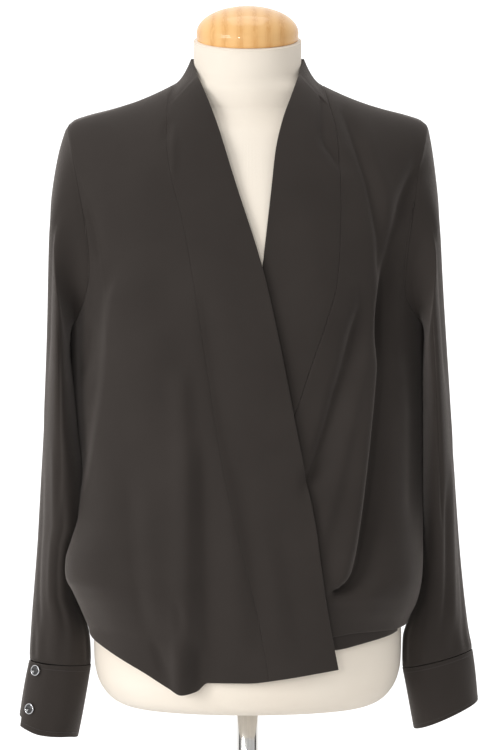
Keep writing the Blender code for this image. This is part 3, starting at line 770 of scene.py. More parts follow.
@dataclass(frozen=True)
class Trunk:
    """The surface that the blouse's body lies on: a squarish oval at each height, with folds.

    body holds rows of height, half width towards -X and +X, depth in front and behind, and the place
    in Y of the side line. shoulder and armhole hold (out, height) and (bearing, height). A bearing is 0
    at the middle of the front, 1 or -1 at a side seam and 2 at the middle of the back.
    """

    body: Rows = (
        (340, 166, 164, 125, 122, 0),
        (372, 167, 165, 127, 123, 0),
        (396, 169, 167, 129, 123, 0),
        (410, 174, 171, 130, 123, -5),
        (424, 179, 177, 131, 122, -14),
        (438, 184, 180, 131, 121, -26),
        (452, 189, 182, 131, 119, -32),
        (472, 184, 184, 131, 116, -26),
        (495, 176, 185, 131, 112, -14),
        (520, 171, 186, 130, 109, -4),
        (545, 172, 186, 130, 107, 2),
        (590, 178, 186, 129, 106, 6),
        (650, 184, 187, 128, 108, 8),
        (700, 187, 187, 127, 110, 8),
        (745, 188, 188, 124, 111, 7),
        (770, 190, 190, 120, 110, 6),
        (815, 198, 198, 112, 107, 4),
        (860, 209, 209, 102, 103, 2),
        (900, 218, 218, 91, 97, 0),
        (930, 225, 225, 81, 90, 0),
        (960, 229, 229, 70, 78, 0),
        (990, 232, 232, 60, 66, 0),
    )
    shoulder: Rows = (
        (0, 1012), (60, 981), (75, 972), (108, 957), (140, 946.5), (172, 938), (184, 933.5), (192, 925),
    )
    armhole: Rows = (
        (1.0, 712), (0.9, 715), (0.8, 722), (0.7, 738), (0.64, 765), (0.62, 800), (0.616, 840),
        (0.614, 885), (0.612, 929),
    )
    quarter_round: float = 230.0
    squareness: float = 2.3
    side_reach: float = 1.2
    shoulder_round: float = 130.0
    shoulder_squareness: float = 3.0
    ripple: float = 0.45

    def size(self, column: int, height: np.ndarray) -> np.ndarray:
        """One column of the body's table at these heights."""
        table = np.array(self.body, float)
        return curve_through(table[:, 0], table[:, column], height)

    def half_width(self, side: np.ndarray, height: np.ndarray) -> np.ndarray:
        """The half width on the side of the sign given."""
        return np.where(side < 0, self.size(1, height), self.size(2, height))

    def shoulder_height(self, x: np.ndarray) -> np.ndarray:
        """The height of the shoulder seam at x."""
        table = np.array(self.shoulder, float)
        return curve_through(table[:, 0], table[:, 1], np.abs(x))

    def bearing_of(self, x: np.ndarray, height: np.ndarray) -> np.ndarray:
        """The bearing at which the front has this x."""
        share = np.clip(np.abs(x) / self.half_width(x, height), 0, 1) ** (self.squareness / 2)
        return np.sign(x) * np.arcsin(share) * 2 / math.pi

    def slack(self, bearing: np.ndarray, height: np.ndarray) -> np.ndarray:
        """The cloth's own unevenness: four long waves over the bearing and the height, added up."""
        waves = ((9.0, 0.017, 0.4), (14.0, -0.024, 2.1), (5.0, 0.041, 4.0), (21.0, 0.012, 1.2))
        return self.ripple * sum(np.sin(b * bearing + h * height + p) for b, h, p in waves)

    def at(self, bearing: np.ndarray, height: np.ndarray, inset: np.ndarray | float = 0.0) -> Net:
        """Points of the surface.

        The oval has |x/a|^p + |y/b|^p = 1, its depth closes over the shoulder as a rounded corner, and
        the folds and the slack move each point along the oval's normal.

        Args:
            bearing: bearings, of any shape.
            height: heights that broadcast with them.
            inset: how far inside the surface.

        Returns:
            Points, of that shape by 3.
        """
        bearing, height = np.broadcast_arrays(np.asarray(bearing, float), np.asarray(height, float))
        angle = bearing * math.pi / 2
        wide = self.half_width(np.sin(angle), height) - inset
        behind = np.cos(angle) < 0
        deep = np.where(behind, self.size(4, height), self.size(3, height)) - inset
        power = 2 / self.squareness
        across = np.sign(np.sin(angle)) * np.abs(np.sin(angle)) ** power
        along = np.abs(np.cos(angle)) ** power
        x = wide * across
        below = np.clip((self.shoulder_height(x) - height) / self.shoulder_round, 0, 1)
        over = (1 - (1 - below) ** self.shoulder_squareness) ** (1 / self.shoulder_squareness)
        way = np.where(behind, 1, -1)
        side_y = self.size(5, height) * np.clip(self.side_reach - along, 0, 1)
        y = side_y + way * deep * along * over
        normal_x = np.sign(across) * np.abs(across) ** (self.squareness - 1) / wide
        normal_y = way * along ** (self.squareness - 1) / deep
        length = np.hypot(normal_x, normal_y) + 1e-9
        front = sum(fold.at(x, height) for fold in FRONT_FOLDS)
        back = sum(fold.at(x, height) for fold in BACK_FOLDS)
        moved = (np.where(behind, back, front) + self.slack(bearing, height)) * over
        return np.stack([x + moved * normal_x / length, y + moved * normal_y / length, height], axis=-1)

    def pairs_at(self, points: Rows | np.ndarray) -> np.ndarray:
        """(x, height) pairs as (bearing, height) pairs on the front."""
        points = np.asarray(points, float)
        return np.stack([self.bearing_of(points[:, 0], points[:, 1]), points[:, 1]], axis=1)

    def armhole_line(self, side: Side, count: int) -> np.ndarray:
        """The front half of an armhole, from below the arm up to the shoulder line.

        It runs at even steps of its length, and its last height is drawn to the shoulder's in 16 steps.

        Args:
            side: the wearer's side.
            count: how many points.

        Returns:
            (bearing, height) pairs.
        """
        rows = resample(np.array(self.armhole, float) * (self.quarter_round, 1), count)
        for _ in range(16):
            rows[-1, 1] = self.shoulder_height(self.at(rows[-1, 0] / self.quarter_round, rows[-1, 1])[0])
        return rows / (self.quarter_round, 1) * (side.value, 1)

    def shoulder_border(self, side: Side, armhole: int, shoulder: int, band_start: float) -> np.ndarray:
        """The upper border of a front: up the armhole, then along the shoulder seam to the band.

        Args:
            side: the wearer's side.
            armhole: how many points up the armhole.
            shoulder: how many along the shoulder seam, with its first at the armhole's last.
            band_start: how far out the band's seam starts.

        Returns:
            (bearing, height) pairs.
        """
        line = self.armhole_line(side, armhole)
        tip = line[-1] * (side.value, 1)
        x = np.linspace(self.at(tip[0], tip[1])[0], band_start, shoulder)
        seam = self.pairs_at(np.stack([x, self.shoulder_height(x)], axis=1))
        return np.concatenate([line, seam[1:] * (side.value, 1)])


def round_the_back(pairs: np.ndarray) -> np.ndarray:
    """Front pairs carried round to the back, counted on through the middle of the back from -X."""
    return np.stack([-2 - pairs[:, 0], pairs[:, 1]], axis=1)


@dataclass
class Body:
    """The blouse's body: two wrapped fronts, the back, the shawl band in two halves and the hem band.

    right_band and left_band hold rows of the seam's x and height and the edge's, collar rows of the
    seam's x and height and the edge's place, and the hems and hem_band rows of x and height. edges holds
    the radii of the soft, sewn, hemmed and grooved edges.
    """

    cloth: bpy.types.Material
    trunk: Trunk = field(default_factory=Trunk)
    right_band: Rows = (
        (-79, 969.6, -59.5, 999), (-83, 941, -52.5, 978), (-83, 907, -43.5, 956), (-77, 864, -32, 925),
        (-67, 825, -13, 863), (-54, 755, 16, 770), (-41, 669, 32, 699), (-28, 588, 50, 608),
        (-8, 497, 68, 517), (12, 412, 81, 427), (22, 354, 93, 364),
    )
    left_band: Rows = (
        (79, 969.6, 60, 999), (86, 941, 54, 979), (92, 915, 46, 955), (95, 880, 36.5, 928),
        (96, 845, 29, 895), (95, 800, 25, 858), (91, 755, 20, 811), (80, 715, 14, 760), (66, 672, 6, 715),
        (56, 640, -2, 680), (43, 608, -12, 640), (31, 560, -26, 585), (14, 500, -42, 520),
        (-2, 440, -56, 455), (-12, 398, -63, 405),
    )
    collar: Rows = (
        (0, 968, 0, 60.5, 1003), (28, 968, 24, 55.5, 1004), (54, 970, 44.5, 40, 1004),
        (72, 971, 56, 20.5, 1002), (79, 969.6, 59.6, 0, 998.5),
    )
    right_hem: Rows = (
        (-169, 397), (-157, 387), (-141, 378), (-109, 362), (-79, 345), (-66, 339), (-52, 343),
        (-41, 352), (2, 352), (22, 354),
    )
    left_hem: Rows = ((-12, 398), (40, 396), (89, 397), (114, 400), (158, 401), (167, 402))
    hem_band: Rows = ((60, 384), (94, 383), (104, 384), (119, 387), (160, 397))
    hem_band_steps: tuple[int, int] = (14, 90)
    hem_band_above: float = 9.0
    hem_band_under: float = 3.3
    collar_sag: float = 5.5
    under: float = 5.9
    under_past_edge: float = 8.0
    under_ease: float = 60.0
    crowding: float = 1.6
    armhole_steps: int = 58
    shoulder_steps: int = 44
    down_steps: int = 190
    back_steps: int = 150
    across_band: int = 30
    neck_steps: int = 36
    wall: float = 0.8
    edges: tuple[float, float, float, float] = (0.4, 0.9, 1.1, 1.3)

    def band_rows(self, table: Rows) -> np.ndarray:
        """The band's rows down the front, as the panel beside it is sampled."""
        return resample(table, self.down_steps + 1, self.crowding)

    def under_lap(self, x: np.ndarray, height: np.ndarray) -> np.ndarray:
        """How far the left front is drawn in: wholly under the right front, less and less past it.

        Args:
            x: places across.
            height: heights, of the same shape.

        Returns:
            Millimetres inwards.
        """
        table = np.array(self.right_band, float)[::-1]
        clear = x - curve_through(table[:, 3], table[:, 2], height) - self.under_past_edge
        return self.under * (1 - smooth_step(clear / self.under_ease))

    def laid(self, pairs: np.ndarray, under: bool, more: float = 0.0) -> Net:
        """The trunk's points, drawn in where they lie under the right front.

        Args:
            pairs: (bearing, height) pairs, of any shape by 2.
            under: whether the piece runs on under the right front.
            more: how much further in it lies throughout.

        Returns:
            Points, of that shape by 3.
        """
        bearing, height = pairs[..., 0], pairs[..., 1]
        inset = self.under_lap(self.trunk.at(bearing, height)[..., 0], height) if under else 0.0
        return self.trunk.at(bearing, height, inset + more)

    def inward(self, net: Net) -> Net:
        """Unit vectors into the garment at each point of a net of its body."""
        centre = np.stack([0 * net[..., 0], 0 * net[..., 1], net[..., 2] - 30], axis=-1)
        return -outward_normals(net, centre)

    def front_net(self, side: Side) -> Net:
        """A front, filled in between the armhole and shoulder, the band's seam, the hem and the side seam.

        Args:
            side: the wearer's side.

        Returns:
            Its net, from the top down and from the side seam to the band.
        """
        right = side is Side.RIGHT
        table, hem = (self.right_band, self.right_hem) if right else (self.left_band, self.left_hem)
        trunk, round_1 = self.trunk, (self.trunk.quarter_round, 1)
        top = trunk.shoulder_border(side, self.armhole_steps, self.shoulder_steps, table[0][0] * side.value)
        end = trunk.pairs_at(self.band_rows(table)[:, :2])
        hem = trunk.pairs_at(hem if right else hem[::-1])
        hem[0, 0] = side.value
        bottom = resample(hem * round_1, len(top)) / round_1
        start = resample([(side.value, top[0, 1]), (side.value, bottom[0, 1])], len(end), self.crowding)
        end[0], end[-1] = top[-1], bottom[-1]
        return self.laid(coons(top, bottom, start, end), not right)

    def back_net(self) -> Net:
        """The back between both side seams, from the shoulders and the neck down to the hem.

        The fronts' upper borders and the collar's seam are carried round to the back by the bearing.

        Returns:
            Its net, from the top down and from the left side seam round to the right one.
        """
        trunk = self.trunk
        left, right = (
            trunk.shoulder_border(side, self.armhole_steps, self.shoulder_steps, self.collar[-1][0])
            for side in Side
        )
        seam = trunk.pairs_at(resample(self.collar, self.neck_steps + 1)[::-1, :2])
        seam[0] = right[-1]
        top = np.concatenate([
            round_the_back(left),
            round_the_back(seam * (-1, 1))[1:],
            round_the_back(seam[::-1])[1:],
            round_the_back(right)[::-1][1:],
        ])
        bottom = np.linspace((-1, self.right_hem[0][1]), (-3, self.left_hem[-1][1]), len(top))
        start, end = (resample([top[i], bottom[i]], self.back_steps, self.crowding) for i in (0, -1))
        return self.laid(coons(top, bottom, start, end), False)

    def band_net(self, side: Side) -> Net:
        """Half of the band, from the middle of the back round the neck and down a front to the hem.

        Each row is straight from the seam to the edge, sagging by 4 s (1 - s) of collar_sag at the share s
        of the way across, round the neck and above the height where the edge turns onto the chest. Below
        that height the rows lie on the trunk.

        Args:
            side: the wearer's side.

        Returns:
            Its net, rows from the back round and down, and columns from the seam to the edge.
        """
        table = self.right_band if side is Side.RIGHT else self.left_band
        under = side is Side.LEFT
        across = np.linspace(0, 1, self.across_band + 1)[None, :, None]
        neck = resample(self.collar, self.neck_steps + 1)[:-1]
        bearing = 2 - self.trunk.bearing_of(neck[:, 0], neck[:, 1])
        seam = self.trunk.at(bearing, neck[:, 1]) * (side.value, 1, 1)
        edge = neck[:, 2:] * (side.value, 1, 1)
        collar = seam[:, None] + (edge - seam)[:, None] * across
        sag = self.collar_sag * 4 * across[..., 0] * (1 - across[..., 0])
        collar[..., 2] -= sag * smooth_step(np.arange(len(collar)) / len(collar))[:, None]
        rows = self.band_rows(table)
        x = rows[:, :1] + (rows[:, 2:3] - rows[:, :1]) * across[..., 0]
        z = rows[:, 1:2] + (rows[:, 3:] - rows[:, 1:2]) * across[..., 0]
        front = self.laid(np.stack([self.trunk.bearing_of(x, z), z], axis=-1), under)
        neck_edge = np.array(self.collar[-1][2:], float) * (side.value, 1, 1)
        turn_z = table[1][3]
        turn_edge = self.laid(self.trunk.pairs_at([table[1][2:]]), under)[0]
        share = ((neck_edge[2] - rows[:, 3]) / (neck_edge[2] - turn_z))[:, None]
        edge = neck_edge + (turn_edge - neck_edge) * share
        straight = front[:, :1] + (edge[:, None] - front[:, :1]) * across
        straight[..., 2] -= sag * (1 - smooth_step(share))
        front = np.where((rows[:, 3] > turn_z)[:, None, None], straight, front)
        return np.concatenate([collar, front])

    def hem_band_net(self) -> Net:
        """The turned-up hem that hangs below the left front, from inside it down to its lower edge.

        Returns:
            Its net, from the top down and from the wrap to the side seam.
        """
        line = resample(self.hem_band, self.hem_band_steps[1])
        hem_z = curve_through(*np.array(self.left_hem, float).T, line[:, 0])
        share = np.linspace(1, 0, self.hem_band_steps[0])[:, None]
        z = line[:, 1] + (hem_z + self.hem_band_above - line[:, 1]) * share
        x = np.broadcast_to(line[:, 0], z.shape)
        return self.laid(np.stack([self.trunk.bearing_of(x, z), z], axis=-1), True, self.hem_band_under)

    def build(self) -> None:
        soft, seam, hem, groove = self.edges
        right = {Border.TOP: soft, Border.START: seam, Border.END: soft, Border.BOTTOM: hem}
        left = {Border.TOP: soft, Border.START: seam, Border.END: groove, Border.BOTTOM: hem}
        right_band = {Border.TOP: soft, Border.START: soft, Border.END: seam, Border.BOTTOM: hem}
        left_band = {Border.TOP: soft, Border.START: groove, Border.END: seam, Border.BOTTOM: hem}
        loose = {Border.START: hem, Border.END: hem, Border.BOTTOM: hem}
        pieces = (
            ("right_front_cloth", self.front_net(Side.RIGHT), right, "right_front", (0.28, 0.63), 0.115),
            ("left_front_cloth", self.front_net(Side.LEFT), left, "left_front", (0.28, 0.58), 0.098),
            ("back_cloth", self.back_net(), right, "back", (0.56, 0.58), 0.27),
            ("right_band_cloth", self.band_net(Side.RIGHT), right_band, "right_band", (0.1, 0.82), 0.053),
            ("left_band_cloth", self.band_net(Side.LEFT), left_band, "left_band", (0.1, 0.78), 0.046),
            ("left_hem_band_cloth", self.hem_band_net(), loose, "left_hem_band", (0.12, 0.03), 0.0028),
        )
        for name, net, borders, node, flat, area in pieces:
            net = turn_in(net, self.inward(net), borders)
            made = place(name, mesh_of_net(name, net), self.cloth, "cloth", node)
            axis = net[:-1, :-1] * (0, 0, 1)
            wall(made, self.wall, -1 if outwards(net, axis) else 1)


def outwards(net: Net, middle: Net | float) -> bool:
    """Whether the faces that mesh_of_net makes of a net look away from its middle, on the whole.

    It sums the cross product of each face's sides times its corner's place from the middle.

    Args:
        net: rows by columns by 3.
        middle: points that broadcast with the net less its last row and column.

    Returns:
        True where they look outwards.
    """
    normal = np.cross(net[1:, :-1] - net[:-1, :-1], net[:-1, 1:] - net[:-1, :-1])
    return float((normal * (net[:-1, :-1] - middle)).sum()) > 0


@dataclass(frozen=True)
class SleeveFold:
    """A crease along a sleeve: at its turn from the outer line, in radians, drifting with the way down."""

    depth: float
    turn: float
    width: float
    top: float
    bottom: float
    drift: float = 0.0

    def at(self, turns: np.ndarray, down: np.ndarray) -> np.ndarray:
        """Depth times e to the minus square of the turn away in widths, faded at both ends.

        Args:
            turns: turns round the sleeve, columns.
            down: shares of the way down, rows.

        Returns:
            Millimetres outwards, rows by columns.
        """
        away = (turns - self.turn - self.drift * (down - self.top) + math.pi) % (2 * math.pi) - math.pi
        fade = smooth_step((down - self.top) / 0.09) * smooth_step((self.bottom - down) / 0.09)
        return self.depth * fade * np.exp(-((away / self.width) ** 2))


@dataclass
class Arm:
    """A sleeve with its cuff, two buttons and stitching.

    sleeve and cuff hold rows of the outer line's x and height, the inner line's x and height as seen
    from the front, the half depth, and the middle in Y. A turn is 0 at the outer line and runs to the
    front. lap_rise and lap_drop_rise hold how long before the lap the rise or drop starts, and over how
    long it grows. button_down holds the buttons' shares of the way down the cuff.
    """

    side: Side
    sleeve: Rows
    cuff: Rows
    button_turn: float
    folds: tuple[SleeveFold, ...]
    cloth: bpy.types.Material
    thread: bpy.types.Material
    # the rims' metal finish, a painted highlight round each button's edge
    button: bpy.types.Material
    rim: bpy.types.Material
    trunk: Trunk
    coarse_rings: int = 20
    blend_rings: float = 3.0
    rings: int = 176
    half_loop: int = 60
    sleeve_wall: float = 0.8
    sleeve_edges: tuple[float, float] = (0.45, 0.7)
    stand_out: float = 0.2
    lean: float = 30.0
    lean_rings: tuple[float, float] = (2.5, 5.0)
    tip_reach: tuple[float, float, float] = (-2.4, 5.7, 2.9)
    gathers: int = 13
    gather_depth: float = 0.55
    gather_fades: Rows = ((0.87, 0.1), (0.985, 0.015))
    wave_depth: float = 0.35
    cuff_wall: float = 1.0
    cuff_edges: tuple[float, float, float, float] = (0.6, 1.0, 0.8, 0.8)
    stitched_in: int = 3
    lap_turn: float = math.radians(26)
    lap_lift: float = 2.4
    lap_rise: tuple[float, float] = (0.7, 0.55)
    lap_drop: float = 0.0
    lap_drop_rise: tuple[float, float] = (1.7, 1.6)
    button_radius: float = 5.7
    button_thick: float = 2.6
    button_shank: float = 0.9
    button_down: tuple[float, float] = (0.2, 0.78)
    button_stand_off: float = 1.65
    button_inset: float = 0.03

    @property
    def word(self) -> str:
        """The side as a word for names."""
        return self.side.name.lower()

    def tube(self, table: Rows, rings: np.ndarray, count: int, turns: np.ndarray) -> Net:
        """Rings of a table at fractional ring numbers.

        A ring's x and height run from the outer to the inner line as (1 + cos t) / 2, and its y is the
        middle less the half depth times sin t.

        Args:
            table: the rows.
            rings: ring numbers from 0 to count - 1.
            count: how many even rings the table is cut into.
            turns: turns from the outer line.

        Returns:
            Points, rings by turns by 3.
        """
        even = resample(table, count)
        rows = np.stack([curve_through(np.arange(count), even[:, i], rings) for i in range(6)], axis=1)
        outer_x, outer_z, inner_x, inner_z, half_depth, middle_y = (rows[:, i, None] for i in range(6))
        share = (1 + np.cos(turns)) / 2
        x = inner_x + (outer_x - inner_x) * share
        z = inner_z + (outer_z - inner_z) * share
        return np.stack([x, middle_y - half_depth * np.sin(turns), z], axis=-1)

    def sleeve_net(self) -> Net:
        """The sleeve, from the armhole's loop eased into its own tube, with creases and cuff gathers.

        The loop is the armhole's front half and its mirror image behind, and its tip reaches the shoulder
        seam's end. The tube's inner line leans forward. Creases, gathers of cos(n t) above the cuff and a
        slow wave of sin(3 t) then move each point along the normal, at the turn t.

        Returns:
            Its net, from the armhole down and round from the outer line.
        """
        front = self.trunk.armhole_line(self.side, self.half_loop + 1)[::-1]
        loop = np.concatenate([front, round_the_back(front)[-2:0:-1]])
        turns = np.arange(len(loop)) * 2 * math.pi / len(loop)
        armhole = self.trunk.at(loop[:, 0], loop[:, 1]) + np.array((self.side.value * self.stand_out, 0, 0))
        armhole[0] += np.array(self.tip_reach) * (self.side.value, 1, 1)
        ring = np.linspace(-1, self.coarse_rings - 1, self.rings)
        net = self.tube(self.sleeve, ring, self.coarse_rings, turns)
        ease_in, ease_out = self.lean_rings
        leaning = smooth_step(ring / ease_in) * smooth_step((self.coarse_rings - 1 - ring) / ease_out)
        net[..., 1] -= self.lean * leaning[:, None] * (1 - np.cos(turns)) / 2
        share = smooth_step((ring + 1) / self.blend_rings)[:, None, None]
        net = armhole[None] * (1 - share) + net * share
        down = np.linspace(0, 1, self.rings)[:, None]
        moved = sum(fold.at(turns[None], down) for fold in self.folds)
        gather = self.gather_depth * np.cos(self.gathers * turns + 1.3 * np.sin(2 * turns))
        (start, rise), (end, fall) = self.gather_fades
        gathered = smooth_step((down - start) / rise) * (1 - smooth_step((down - end) / fall))
        wave = self.wave_depth * np.sin(3 * turns[None] + 9 * down) * smooth_step(down * 8)
        return net - self.inward(net) * (moved + gather[None] * gathered + wave)[..., None]

    def inward(self, net: Net) -> Net:
        """Unit vectors into the sleeve at each point of its net, whose last column joins the first."""
        round_again = np.concatenate([net, net[:, :1]], axis=1)
        return -outward_normals(round_again, net.mean(axis=1, keepdims=True))[:, :-1]

    def cuff_run(self, count: int) -> np.ndarray:
        """How far round the cuff's strip has gone: once and the width of its lap, in radians."""
        return np.linspace(0, 2 * math.pi + self.lap_turn, count)

    def cuff_net(self, rows: int = 44, count: int = 132) -> Net:
        """The cuff as one strip round the wrist, lifted where it laps over itself, mirrored on the left.

        Its lap drops by the square of the way down. Two slow waves, sin(2 t) and sin(5 t) at the turn t,
        keep it from being quite round.

        Args:
            rows: how many rows down.
            count: how many columns round.

        Returns:
            Its net, from the top down and round from the end that lies under.
        """
        run = self.cuff_run(count)
        turns = self.button_turn + self.side.value * (run - self.lap_turn / 2)
        net = self.tube(self.cuff, np.linspace(0, 3, rows), 4, turns)
        away = net - net.mean(axis=1, keepdims=True)
        away /= np.linalg.norm(away, axis=2, keepdims=True)
        before, over = self.lap_rise
        lift = self.lap_lift * smooth_step((run - 2 * math.pi + before) / over)
        down = np.linspace(0, 1, rows)[:, None]
        wave = 0.5 * np.sin(2 * turns[None] + 2.2) * down + 0.25 * np.sin(5 * turns[None] + 4 * down)
        net = net + away * (lift[None, :, None] + wave[..., None])
        drop_before, drop_over = self.lap_drop_rise
        net[..., 2] -= self.lap_drop * down**2 * smooth_step((run - 2 * math.pi + drop_before) / drop_over)
        return net

    def button_frames(self, net: Net) -> list[np.ndarray]:
        """Where each button sits on the lap.

        Args:
            net: the cuff's net.

        Returns:
            For each button a table with columns for sideways, along the cuff, outwards and its place.
        """
        run = self.cuff_run(net.shape[1])
        line = net[:, np.argmin(np.abs(run - 2 * math.pi - self.lap_turn / 2 + self.button_inset))]
        frames = []
        for down in self.button_down:
            spot = line[0] + (line[-1] - line[0]) * down
            centre = net[0].mean(axis=0) + (net[-1].mean(axis=0) - net[0].mean(axis=0)) * down
            along = line[-1] - line[0]
            along = along / np.linalg.norm(along)
            out = spot - centre
            out = out - along * out.dot(along)
            out = out / np.linalg.norm(out)
            spot = spot + out * (self.button_thick / 2 + self.button_stand_off)
            frames.append(np.stack([np.cross(along, out), along, out, spot], axis=1))
        return frames

    def add_button(self, number: int, spot: np.ndarray) -> None:
        """A domed button with a sunk middle in a bright metal rim, a painted highlight round its edge,
        turned from two profiles about its axis.

        Args:
            number: which button, counted from the top.
            spot: its frame.
        """
        half, radius = self.button_thick / 2, self.button_radius
        turn = np.linspace(0, math.pi / 2, 14)
        foot = -half - self.button_shank
        dish = [(0.001, half * 0.55)]
        dish += [(radius * 0.2, half * 0.62), (radius * 0.42, half * 0.86), (radius * 0.6, half * 1.1)]
        edge = [(radius * (0.66 + 0.16 * math.sin(t)), half * (0.2 + 0.95 * math.cos(t))) for t in turn]
        body = dish + edge
        body += [(radius * 0.8, -half * 0.9), (radius * 0.3, -half), (radius * 0.25, foot), (0.001, foot)]
        ring = np.linspace(0, 2 * math.pi, 21)[:-1]
        rim = [(radius * (0.88 + 0.12 * math.cos(t)), half * 0.72 * math.sin(t)) for t in ring]
        name = f"{self.word}_button_{number}"
        resin = turned_net(np.array(body), 40)
        # the metal rim ring is a painted highlight round the button's edge
        highlight_ring = turned_net(np.array(rim + rim[:1])[::-1], 48)
        body_mesh = mesh_of_net(name, carried(resin, spot), closed=True)
        place(f"{name}_resin", body_mesh, self.button, "button", name)
        place(f"{name}_rim", mesh_of_net(name, carried(highlight_ring, spot), closed=True), self.rim, "button")

    def build(self) -> None:
        """Makes the sleeve, the cuff, the stitching and the buttons."""
        net = self.sleeve_net()
        net = turn_in(net, self.inward(net), dict(zip((Border.TOP, Border.BOTTOM), self.sleeve_edges)))
        net = net if self.side is Side.RIGHT else net[:, ::-1]
        mesh = mesh_of_net(self.word, net, closed=True)
        made = place(f"{self.word}_sleeve_cloth", mesh, self.cloth, "cloth", f"{self.word}_sleeve")
        wall(made, self.sleeve_wall, -1 if outwards(net, net.mean(axis=1, keepdims=True)[:-1]) else 1)
        net = self.cuff_net()
        into = -outward_normals(net, net.mean(axis=1, keepdims=True))
        rolled = turn_in(net, into, dict(zip(Border, self.cuff_edges)))[:, ::-1]
        mesh = mesh_of_net(self.word, rolled)
        made = place(f"{self.word}_cuff_cloth", mesh, self.cloth, "cloth", f"{self.word}_cuff")
        wall(made, self.cuff_wall, -1 if outwards(rolled, rolled.mean(axis=1, keepdims=True)[:-1]) else 1)
        in_from = self.stitched_in
        rows = (in_from, net.shape[0] - 1 - in_from)
        seams = [(net[row, in_from:-in_from], -into[row, in_from:-in_from]) for row in rows]
        place(f"{self.word}_cuff_stitches", stitches(f"{self.word}_stitches", seams), self.thread, "cloth")
        for number, spot in enumerate(self.button_frames(net), 1):
            self.add_button(number, spot)


def turned_net(profile: np.ndarray, around: int) -> Net:
    """A net turned from a profile: (r cos t, r sin t, h) for each (r, h) of the profile and each turn t.

    Args:
        profile: rows of radius and height.
        around: how many columns.

    Returns:
        The net, a row for each point of the profile.
    """
    t = np.arange(around) * 2 * math.pi / around
    r, h = profile[:, :1], profile[:, 1:]
    return np.stack([r * np.cos(t), r * np.sin(t), h + 0 * t], axis=-1)


def carried(net: Net, spot: np.ndarray) -> Net:
    """A net moved into the frame whose columns are its X, Y and Z axes and its place."""
    return net @ spot[:, :3].T + spot[:, 3]


def stitches(
    name: str, seams: list[tuple[np.ndarray, np.ndarray]], pitch: float = 2.6, long: float = 2.0
) -> bpy.types.Mesh:
    """One mesh of short rounded stitches along seams.

    Each stitch is a spindle: five points round at three stations, with a pole at either end, whose
    radius is the thread's times the root of one minus the square of the station.

    Args:
        name: the mesh's name.
        seams: for each seam its points and the cloth's unit normals there.
        pitch: from one stitch to the next, in millimetres.
        long: a stitch's length.

    Returns:
        The mesh.
    """
    radius, lift, step, around = 0.26, 0.2, 0.5, 5
    stations = np.array((-0.6, 0.0, 0.6))
    turn = np.arange(around) * 2 * math.pi / around
    swell = np.sqrt(1 - stations**2)[:, None] * radius
    along = stations[:, None] * long / 2 + 0 * turn
    body = np.stack([along, swell * np.cos(turn), swell * np.sin(turn)], axis=-1)
    shape = np.concatenate([body.reshape(-1, 3), ((-long / 2, 0, 0), (long / 2, 0, 0))])
    ring = np.arange(around)
    after = (ring + 1) % around
    side = np.stack([ring, ring + around, after + around, after], axis=1)
    quads = [side + around * k for k in range(len(stations) - 1)]
    first, last = len(shape) - 2, len(shape) - 1
    caps = np.concatenate([
        np.stack([after, np.full(around, first), ring], axis=1),
        np.stack([ring + around * 2, np.full(around, last), after + around * 2], axis=1),
    ])
    points, faces, base = [], [], 0
    for line, normals in seams:
        run = np.concatenate([[0], np.cumsum(np.linalg.norm(np.diff(line, axis=0), axis=1))])
        at = np.arange(pitch / 2, run[-1], pitch)
        middle = np.stack([np.interp(at, run, line[:, i]) for i in range(3)], axis=1)
        ahead = np.stack([np.interp(at + step, run, line[:, i]) for i in range(3)], axis=1) - middle
        ahead /= np.linalg.norm(ahead, axis=1, keepdims=True) + 1e-9
        up = np.stack([np.interp(at, run, normals[:, i]) for i in range(3)], axis=1)
        up -= ahead * (up * ahead).sum(axis=1, keepdims=True)
        up /= np.linalg.norm(up, axis=1, keepdims=True) + 1e-9
        axes = np.stack([ahead, np.cross(up, ahead), up], axis=1)
        middle = middle + up * radius * lift
        points.append((np.einsum("pk,nkj->npj", shape, axes) + middle[:, None]).reshape(-1, 3))
        starts = base + np.arange(len(at)) * len(shape)
        for part in (*quads, caps):
            faces.extend((starts[:, None, None] + part[None]).reshape(-1, part.shape[1]).tolist())
        base += len(at) * len(shape)
    mesh = bpy.data.meshes.new(name)
    mesh.from_pydata((np.concatenate(points) * MM).tolist(), [], faces)
    mesh.shade_smooth()
    return mesh


# The dress form and its stand


